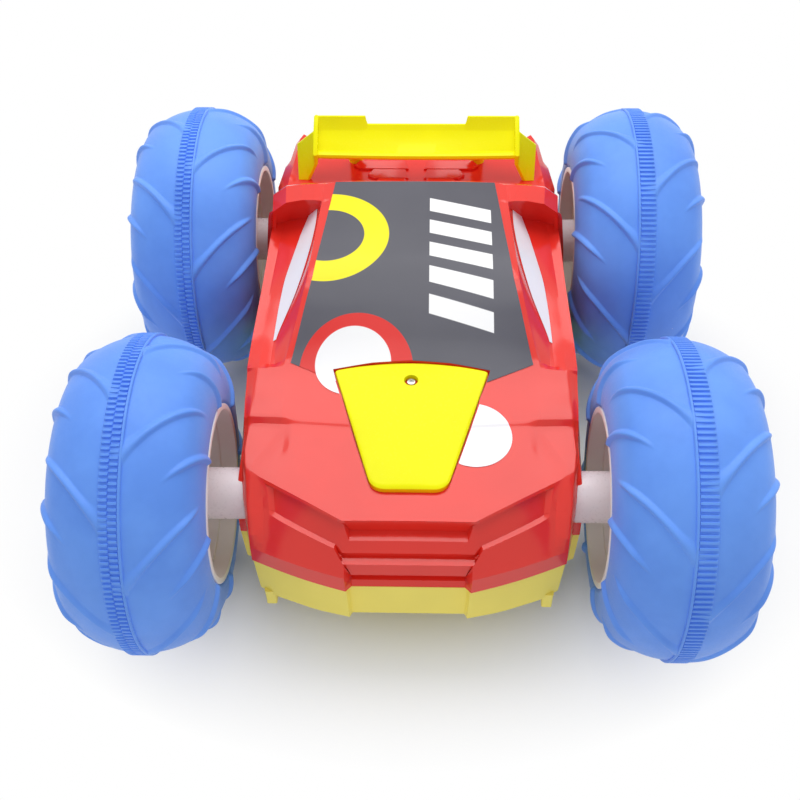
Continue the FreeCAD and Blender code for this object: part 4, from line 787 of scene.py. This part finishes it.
def printed_roof():
    """Dark film with a yellow ring, a white disc in a red ring and a column of slanted bars: the
    distance along the car, leaning with the distance across, is cut into even lengths, and the
    first part of each is a bar."""
    material, tree, shader = new_material("printed_roof_film")
    plan = add_node(tree, "VectorMath", {0: own_place(tree), 1: (1, 1, 0)}, operation="MULTIPLY")
    x, y = (add_node(tree, "SeparateXYZ", {"Vector": plan}, axis) for axis in "XY")
    fleck, cloud = noise(tree, 700, 2.0, 0.6), noise(tree, 30)
    dark = blend(tree, between(tree, cloud, 0, 1), (0.102, 0.101, 0.122), (0.114, 0.113, 0.136))
    colour, soft = dark, 0.00012
    for (centre_x, centre_y), radius, paint in RINGS:
        away = add_node(tree, "VectorMath", {0: plan, 1: (centre_x * MM, centre_y * MM, 0)},
                        "Value", operation="DISTANCE")
        inside = between(tree, away, 1, 0, radius * MM - soft, radius * MM + soft)
        colour = blend(tree, inside, colour, paint or dark)
    sheared = reckon(tree, "ADD", y, reckon(tree, "MULTIPLY", x, BAR_LEAN))
    along = reckon(tree, "SUBTRACT", sheared, BAR_START * MM)
    turns = reckon(tree, "DIVIDE", along, BAR_PITCH * MM)
    bar = within(tree, reckon(tree, "FRACT", turns), BAR_FROM, BAR_TO, 0.012)
    across = within(tree, x, BAR_LEFT * MM, BAR_RIGHT * MM, 0.1 * MM)
    count = within(tree, turns, 0, BAR_COUNT, 0.001)
    bars = reckon(tree, "MULTIPLY", reckon(tree, "MULTIPLY", bar, across), count)
    set_inputs(tree, shader, {
        "Base Color": blend(tree, bars, colour, (0.96, 0.96, 0.96)),
        "Roughness": between(tree, fleck, 0.17, 0.25), "Specular IOR Level": 0.2,
        **relief(tree, [(cloud, 0.0002, 0.2), (fleck, 0.00002, 0.4)])})
    return material


def film(name, sheets, slot, stands_for, finish=None):
    """A printed film: open sheets just above the shell, with a thin wall on their outer side."""
    made = mesh_piece(name, sheets, "chassis", slot, stands_for, 30, 1e-6, finish)
    add_wall(turn_up(made), FILM_WALL, 1.0)


FINISHES["printed_roof"] = printed_roof()
on_roof = ((row_number < ROW_OF["roof_end"]) & (from_middle < COLUMN_OF[2])
           & ((row_number >= ROW_OF["door_rear"])
              | ((row_number >= ROW_OF["foot"]) & (from_middle >= COLUMN_OF[1]))))
film("roof_panel_film", [sheet_of(TOP + np.array([0, 0, FILM_LIFT]), keep=on_roof)], "print_dark",
     ("roof_panel",), "printed_roof")


def sliver(side):
    """The white sliver on a side window: a strip of the shell's surface between two lines that
    run at a share of the window's width."""
    rows = np.arange(ROW_OF["screen"], ROW_OF["ear"] + 1)
    y = right_top[rows, 0, 1]
    inner = np.interp(y, [-13, 4.5, 18, 30, 46.5], [0, 0, 0.04, 0.05, 0.08])
    outer = np.interp(y, [-13, 4.5, 18, 40, 46.5], [1, 0.97, 0.95, 0.93, 0.8])
    share = inner[:, None] + (outer - inner)[:, None] * np.linspace(0, 1, 9)
    place = COLUMN_OF[5] + share * ACROSS_STEPS[5]
    low = np.floor(place).astype(int)
    part = (place - low)[..., None]
    rows = rows[:, None]
    strip = right_top[rows, low] * (1 - part) + right_top[rows, low + 1] * part
    return sheet_of((strip + np.array([0.1, 0, 0.18])) * np.array([side, 1, 1]))


film("window_decals_slivers", [sliver(-1), sliver(1)], "print_white", ("window_decals",))


def door_half(y):
    """Half width of the battery door at a distance along the car."""
    return 12.5 + 14.95 * (y + 79.95) / 48.9


def disc_film(side, centre, radius, y_from, y_to):
    """Part of a white disc beside the door: rows run across the car from the door's edge, or from
    the roof film's front line, to the circle, and each column holds its share of that width."""
    rows, columns = 60, 40
    y = np.linspace(y_from, y_to, rows)
    chord = np.sqrt(np.maximum(radius ** 2 - (y - centre[1]) ** 2, 1e-4))
    line = np.where(y > -35.6, 26.6 + (y + 35.6) * 16.8 / 8.6, 0)
    start = np.maximum(np.maximum(door_half(y) + 0.75, centre[0] - chord), line)
    stop = np.maximum(centre[0] + chord, start + 0.02)
    x = start[:, None] + (stop - start)[:, None] * np.linspace(0, 1, columns)
    y = y[:, None] + 0 * x
    return sheet_of(np.stack([side * x, y, top_height(x, y) + FILM_LIFT], -1))


film("hood_decal_discs", [disc_film(1, (21.9, -58.0), 12.9, -70.88, -45.3),
                          disc_film(-1, (20.9, -28.2), 13.6, -41.75, -31.9)],
     "print_white", ("hood_decal",))


# ---------------- battery door
SCREW = np.mean(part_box("door_screw"), 0)[:2] / MM
SCREW_HOLE, DOOR_EDGE = 2.35, 2.1


def door_height(x, y):
    """The door's top: the hood's plain crown, and a dome that falls to nothing at the edge."""
    base = LIP_Z + 0.1516 * (y - LIP_Y) - 0.0009 * x ** 2 - 0.3 * ease(-42, -28, y)
    half = np.clip(np.abs(x) / door_half(y), 0, 1)
    length = np.clip((y + 80) / 51, 0, 1)
    return base + 0.35 + 1.5 * (1 - half ** 2) * np.sin(np.pi * length) ** 0.8


def door():
    """The domed door: rings run from the screw's hole out to the edge, over its rounded rim, down
    the side, and back underneath to the hole."""
    arc_x = np.linspace(27.3, -27.3, 25)
    arc = np.stack([arc_x, -28.05 - 3 * (arc_x / 27.45) ** 2], -1)
    outline = np.vstack([arc, [(-12.5, -79.95), (12.5, -79.95)]])
    radius = np.r_[0.9, np.zeros(len(arc) - 2), 0.9, 4.6, 4.6]
    ring = evenly(fillet(outline, radius, 8), 260, True)[0]
    spoke = ring - SCREW
    hole = SCREW + spoke / np.linalg.norm(spoke, axis=1)[:, None] * SCREW_HOLE
    share = np.r_[0, 0.01, np.linspace(0.04, 0.96, 34), 0.985]
    tops = hole + (ring - hole) * share[:, None, None]
    height = door_height(tops[..., 0], tops[..., 1])
    height[0] -= 0.35
    height[-1] -= 0.05
    edge = door_height(ring[:, 0], ring[:, 1])
    under = hole + (ring - hole) * np.array([0.9, 0.5, 0.1, 0.0])[:, None, None]
    under_z = door_height(under[..., 0], under[..., 1]) - 1.8
    under_z[0] = np.minimum(under_z[0], edge - DOOR_EDGE)
    flat = np.vstack([tops, [ring, ring], under, tops[:1]])
    z = np.vstack([height, [edge - 0.4, edge - DOOR_EDGE], under_z, height[:1]])
    return sheet_of(np.dstack([flat, z]), True)


def screw_head(top):
    """The head's dome, turned; a cross is pressed into it: a point within 0.27 mm of either of
    two lines through the middle, and inside 0.9 mm, sinks, with sloping walls."""
    radius = np.r_[0, np.linspace(0.08, 1.1, 16), 1.3, 1.45, 1.5, 1.5, 1.0, 1.0, 0]
    height = np.r_[0.3 - 0.12 * radius[:-5] ** 2, -0.2, -0.9, -0.9, -4.5, -4.5]
    grid = upright(*SCREW, radius, top + height, 48)
    away = np.abs(grid[..., :2] - SCREW)
    slot = 1 - ease(0.2, 0.34, away.min(-1))
    slot = slot * (1 - ease(0.75, 1.0, np.hypot(away[..., 0], away[..., 1])))
    grid[..., 2] -= 0.6 * slot * (np.arange(len(radius)) < len(radius) - 4)[:, None]
    return sheet_of(grid, True)


def screw_post(top):
    """The post under the screw's head, with its bore."""
    drop = np.array([0, 0, 0.2, 7.0, 7.0, 0])
    return sheet_of(upright(*SCREW, [1.2, 3.4, 3.6, 3.6, 1.2, 1.2], top - drop, 48), True)


def tongue(x):
    """One of the two tongues that reach under the hood from the door's front edge."""
    section = fillet([(-3.5, -1.1), (3.5, -1.1), (3.5, 0.2), (-3.5, 0.2)], 0.4, 3)
    y, drop = column(-76, -79, -82.5, -82.8), column(1.7, 2.3, 2.6, 2.6)
    shrink = column(1, 1, 1, 0.6)
    z = np.interp(y, SPINE_Y, SPINE_Z) - drop + section[:, 1] * shrink
    return capped(np.stack([x + section[:, 0] * shrink, y + 0 * z, z], -1))


screw_top = float(door_height(*SCREW))
mesh_piece("battery_door_panel", [door(), tongue(-7.0), tongue(7.0)], "door", "yellow_body",
           ("battery_door",), 35)
mesh_piece("door_screw_head", [screw_head(screw_top - 0.9)], "door", "steel", ("door_screw",), 40)
mesh_piece("door_screw_boss", [screw_post(screw_top - 2.0)], "chassis", "red_shell",
           ("upper_shell",), 40)


# ---------------- yellow tub
# Screws under the tub, and the switch's slot. The belly's grid has a line at every break in its
# slope and outline, at the slot's sides, and round each screw.
HOLES = [(x * side, y) for side in (-1, 1)
         for x, y in ((44, -44), (44, 94), (37, 43.7), (37, 82.7))]
HOLE_HALF = 3
HOLE_SIDE = np.linspace(-HOLE_HALF, HOLE_HALF, 5)
SLOT_X, SLOT_Y = (-31.8, -28.2), (3.7, 12.3)
BELLY_HALF, TUB_END_Z, TUB_WALL = 49, 31, 1.8


def grid_lines(breaks, screws):
    """The places of a grid's lines: the breaks, and five lines at each screw."""
    return np.unique(np.round(np.r_[breaks, np.add.outer(screws, HOLE_SIDE).ravel()], 3))


BREAK_X = grid_lines([-BELLY_HALF, *SLOT_X, -19, -18.1, -9, 0, 9, 18.1, 19, 28, 31.8, BELLY_HALF],
                     [-44, -37, 37, 44])
BREAK_Y = grid_lines([-92, -86, -80, -79.8, -70, -58, -30, -12, *SLOT_Y, 26, 60, 72, 100],
                     [-44, 43.7, 82.7, 94])


def belly_height(y):
    """Height of the tub's underside: flat, and ramped up at both ends."""
    return np.interp(y, [-105.5, -86, 94, 113], [TUB_END_Z, 24, 24, TUB_END_Z])


def tub_loop(low):
    """The tub's outline, matched point by point to the belly's rectangle: at the parting line, or
    at the lower edge, if low is set. In front it is set back in the middle and runs straight to
    the corner; the side steps out behind it and narrows to the tail."""
    wide = 51.0 if low else 52.6
    front_x = BREAK_X * (wide / BELLY_HALF)
    across = np.abs(front_x)
    bowed = np.interp(across, [19.6, 31, 45.2, 51], [-105.5, -102.8, -97.4, -93.7])
    straight = -103.6 + 0.381 * (across - 21.1)
    front_y = np.where(np.abs(BREAK_X) < 18.5, -103.6 if low else -101.75,
                       bowed if low else straight)
    side_y = np.interp(BREAK_Y[1:], [-92, -80, -79.8, -70, 85, 100],
                       [front_y[-1], -79.2, -79, -70, 85, 112.4])
    side_x = np.interp(side_y, [-93, -79.2, -79, -66, -42, 42, 80, 107, 112.4],
                       [wide, 56.2, 58.4, 59, 60.9, 60.9, 57.4, 53.4, 50.6]) - 0.8 * low
    rear_x = BREAK_X[-2:0:-1] * 50 / BELLY_HALF
    rear_y = 112.9 - 0.5 * (np.abs(rear_x) / 50) ** 2 + 0.1 * low
    end_z, side_z = PARTING_Z, PARTING_Z + 0 * side_y
    if low:
        end_z = TUB_END_Z
        side_z = np.interp(side_y, [-93, -79, -50, 80, 100, 113], [end_z, 30, 25, 25, 27, end_z])
    z = np.r_[end_z + 0 * front_y, side_z, end_z + 0 * rear_y, side_z[::-1]]
    x = np.r_[front_x, side_x, rear_x, -side_x[::-1]]
    y = np.r_[front_y, side_y, rear_y, side_y[::-1]]
    return np.stack([x, y, z], -1)


def screw_cup(x, y):
    """Square of belly round a screw: from the square's edge to the hole, up to the screw's seat,
    and in to its shank."""
    line, edge = HOLE_SIDE, HOLE_HALF + 0 * HOLE_SIDE
    square = np.vstack([np.stack(pair, -1)[:-1] for pair in (
        (line, -edge), (edge, line), (line[::-1], edge), (-edge, line[::-1]))])
    circle = square / np.linalg.norm(square, axis=1)[:, None]
    rings = []
    for flat, seat in ((square, None), (circle * 2.6, None), (circle * 2.6, 27.55),
                       (circle * 1.2, 27.6), (circle * 0, 27.6)):
        place = flat + [x, y]
        z = belly_height(place[:, 1]) if seat is None else seat + 0 * place[:, 1]
        rings.append(np.column_stack([place, z]))
    return sheet_of(np.stack(rings), True)


def tub():
    """Walls from the parting line down to a rounded lower edge, in to the belly's rectangle, and
    the belly itself, without the squares round its screws and the switch's slot."""
    x, y = np.meshgrid(BREAK_X, BREAK_Y)
    belly = np.stack([x, y, belly_height(y)], -1)
    middle_x = (x[:-1, :-1] + x[1:, 1:]) / 2
    middle_y = (y[:-1, :-1] + y[1:, 1:]) / 2
    keep = ~((middle_x > SLOT_X[0]) & (middle_x < SLOT_X[1])
             & (middle_y > SLOT_Y[0]) & (middle_y < SLOT_Y[1]))
    for hole_x, hole_y in HOLES:
        keep &= (np.abs(middle_x - hole_x) > HOLE_HALF) | (np.abs(middle_y - hole_y) > HOLE_HALF)
    border = np.vstack([belly[0], belly[1:, -1], belly[-1, -2:0:-1], belly[:0:-1, 0]])
    top, low = tub_loop(False), tub_loop(True)
    inward = border - low
    inward[:, 2] = 0
    inward /= np.linalg.norm(inward, axis=1)[:, None]
    up = np.array([0, 0, 1])
    walls = np.stack([top, top * 0.5 + low * 0.5, low + 0.9 * up, low + inward * 0.3 + 0.25 * up,
                      low + inward, border])
    return ([sheet_of(belly, keep=keep), sheet_of(walls, True)]
            + [screw_cup(*place) for place in HOLES])


def post(x, y):
    """A round post with a bore, a little wider at its foot."""
    radius = [1.2, 4.2, 3.4, 3.25, 2.9, 1.2, 1.2]
    height = [25.2, 25.2, 26.7, 43.4, 43.8, 43.8, 25.2]
    return sheet_of(upright(x, y, radius, height, 32), True)


def bumper_leg(side):
    """One of the two small legs under the bumper: a square with rounded edges, closed below."""
    section = fillet([(-1.8, -1.8), (1.8, -1.8), (1.8, 1.8), (-1.8, 1.8)], 0.6, 4)
    rings = [np.column_stack([section * size + [side * 47.4, -94.6], z + 0 * section[:, 0]])
             for size, z in ((0, 25.5), (0.8, 25.5), (1, 25.9), (1.02, 30), (1.1, 33), (0, 33))]
    return sheet_of(np.stack(rings), True)


add_wall(mesh_piece("lower_chassis_tub", tub(), "chassis", "yellow_body", ("lower_chassis",), 24,
                    1e-6, "tub_yellow"), TUB_WALL)
posts = [post(x, y) for x in (-44, 44) for y in (-44, 94)]
mesh_piece("lower_chassis_posts", posts + [bumper_leg(-1), bumper_leg(1)], "chassis",
           "yellow_body", ("lower_chassis",), 35, finish="tub_yellow")


# ---------------- rear wing
def wing_blade():
    """The wing: a section along the car carried across it, with a rounded front lip, a shallow
    channel, and a flap at the back that is taller outboard of the notch. Its front bows forward
    in the middle of the car."""
    half = 42.6
    across = np.r_[np.linspace(0, 20.4, 18), 20.9, 21.4, np.linspace(23, half, 14)]
    tall = ease(20.6, 21.3, across)[:, None]
    bow = (1.6 * (1 - (across / half) ** 2))[:, None]
    # One row for each point of the section: y, height, share of the flap, share of the bow.
    y, z, flap, forward = np.array([
        (83.6, 87.6, 0, 1), (82.4, 88.0, 0, 1), (82.0, 88.9, 0, 1), (82.3, 89.9, 0, 1),
        (83.4, 90.3, 0, 1), (85.2, 90.2, 0, 0.6), (88.5, 92.3, 0, 0.1), (92.9, 95.0, 0, 0),
        (93.5, 95.6, 0, 0), (94.8, 97.0, 1, 0), (95.5, 97.1, 1, 0), (95.8, 96.4, 1, 0),
        (95.0, 93.8, 0, 0), (88.5, 90.2, 0, 0.4), (85.4, 88.2, 0, 0.9)]).T
    y = y + flap * tall * 1.3 + (1.2 - bow) * forward
    z = z + flap * tall * 3.0 + 0.3 * forward * (bow - 1)
    ring = np.stack([across[:, None] + 0 * y, y, z], -1)
    return capped(np.vstack([mirrored(ring[:0:-1]), ring]))


def plate(side, corners):
    """A flat plate with rounded edges: its outline, given on one face, is carried through its
    thickness of 1.8 mm, and each face's rim is drawn in a little."""
    corners = np.array(corners, float)
    across = np.cross(corners[1] - corners[0], corners[2] - corners[0])
    across /= np.linalg.norm(across) * np.sign(across[0])
    centre = corners.mean(0)
    rings = [centre + (corners - centre) * size - across * depth for depth, size in (
        (0, 0.0), (0, 0.94), (0.5, 1.0), (1.3, 1.0), (1.8, 0.94), (1.8, 0.0))]
    return sheet_of(np.stack(rings) * np.array([side, 1, 1]), True)


def strut(side):
    """A wing strut: a round post that leans forward, and flares into the deck and the blade."""
    height = np.array([77.6, 77.6, 78.4, 80.2, 86, 93.0, 94.4, 94.4])
    radius = np.array([0, 3.4, 3.0, 2.7, 2.6, 2.6, 1.6, 0])
    return sheet_of(upright(side * 26, 97 - 0.16 * (height - 78), radius, height, 40), True)


END_PLATE = [(42.8, 81.8, 85.6), (42.8, 81.6, 90.4), (42.8, 90, 97.0), (42.8, 96.4, 100.4),
             (42.8, 97.4, 100.0), (42.8, 98.4, 92), (42.8, 92, 86.5)]
SIDE_FIN = [(42.0, 82, 86), (43.0, 90, 97), (50.5, 92, 89.5), (49.8, 82.2, 77.6), (45.8, 82, 77.6)]
wing_sheets = [wing_blade()]
for hand in (-1, 1):
    wing_sheets += [plate(hand, END_PLATE), plate(hand, SIDE_FIN), strut(hand)]
mesh_piece("rear_wing_blade", wing_sheets, "chassis", "yellow_body", ("rear_wing",), 35)


# ---------------- floor, light and camera
def seen(tree):
    """1 for rays from the camera, off gloss or through clear stuff, 0 for the rest."""
    camera, glossy, clear = (add_node(tree, "LightPath", {}, f"Is {kind} Ray")
                             for kind in ("Camera", "Glossy", "Transmission"))
    return reckon(tree, "MAXIMUM", reckon(tree, "MAXIMUM", camera, glossy), clear)


def studio_floor():
    """A pale floor that keeps the car's shadow, and turns to plain white with the distance from
    the middle, measured in an oval."""
    material, tree, shader = new_material("pale_studio_floor")
    tree.nodes.remove(shader)
    matt = add_node(tree, "BsdfDiffuse", {"Color": (0.90, 0.90, 0.895, 1)})
    white = add_node(tree, "Emission", {"Strength": 1.0})
    oval = add_node(tree, "Mapping", {"Vector": own_place(tree), "Scale": (0.8, 1.0, 1.0)})
    far = add_node(tree, "VectorMath", {0: oval}, "Value", operation="LENGTH")
    share = reckon(tree, "MULTIPLY", between(tree, far, 0.0, 1.0, 0.078, 0.145), seen(tree))
    mix = add_node(tree, "MixShader", {"Fac": share, 1: matt, 2: white})
    set_inputs(tree, tree.nodes["Material Output"], {"Surface": mix})
    mesh = bpy.data.meshes.new("floor")
    mesh.from_pydata([(-6, -6, 0), (6, -6, 0), (6, 6, 0), (-6, 6, 0)], [], [(0, 1, 2, 3)])
    mesh.materials.append(material)
    floor = placed("floor", mesh)
    floor.location = (0, 0, -0.0003)


def white_world(level):
    """White all round: level for the light it gives, 1 where it is seen or mirrored."""
    world = bpy.data.worlds.new("white_studio")
    bpy.context.scene.world = world
    world.use_nodes = True
    tree = world.node_tree
    set_inputs(tree, tree.nodes["Background"], {
        "Color": (1, 1, 1, 1), "Strength": between(tree, seen(tree), level, 1.0, 0.0, 1.0)})


def ceiling_box():
    """A soft box overhead: an area lamp's power is its brightness x pi x its area."""
    lamp = bpy.data.lights.new("ceiling_box", "AREA")
    lamp.shape, lamp.size, lamp.size_y = "RECTANGLE", 1.1, 0.75
    lamp.energy = 2.6 * math.pi * lamp.size * lamp.size_y
    box = placed("ceiling_box", lamp)
    box.location = (0.0, 0.35, 0.95)
    box.rotation_mode = "QUATERNION"
    box.rotation_quaternion = (Vector((0, 0, 0.05)) - box.location).to_track_quat("-Z", "Y")


def front_camera():
    """The camera in front of the nose, above it, looking down at about 45 degrees: it is turned
    by its pitch, then by its yaw, and rolled about the line that it looks along."""
    pitch, yaw, roll = 0.7915, -0.036, -0.0166
    lens = bpy.data.cameras.new("front_camera")
    lens.sensor_width, lens.lens = 36.0, 52.12
    lens.clip_start, lens.clip_end = 0.01, 50
    camera = placed("front_camera", lens)
    turn = (Matrix.Rotation(-yaw, 3, "Z") @ Matrix.Rotation(math.pi / 2 - pitch, 3, "X")
            @ Matrix.Rotation(roll, 3, "Z"))
    camera.matrix_world = Matrix.Translation((0.006421, -0.327211, 0.360611)) @ turn.to_4x4()
    bpy.context.scene.camera = camera


studio_floor()
white_world(0.62)
ceiling_box()
front_camera()
bpy.context.scene.view_settings.view_transform = "Standard"
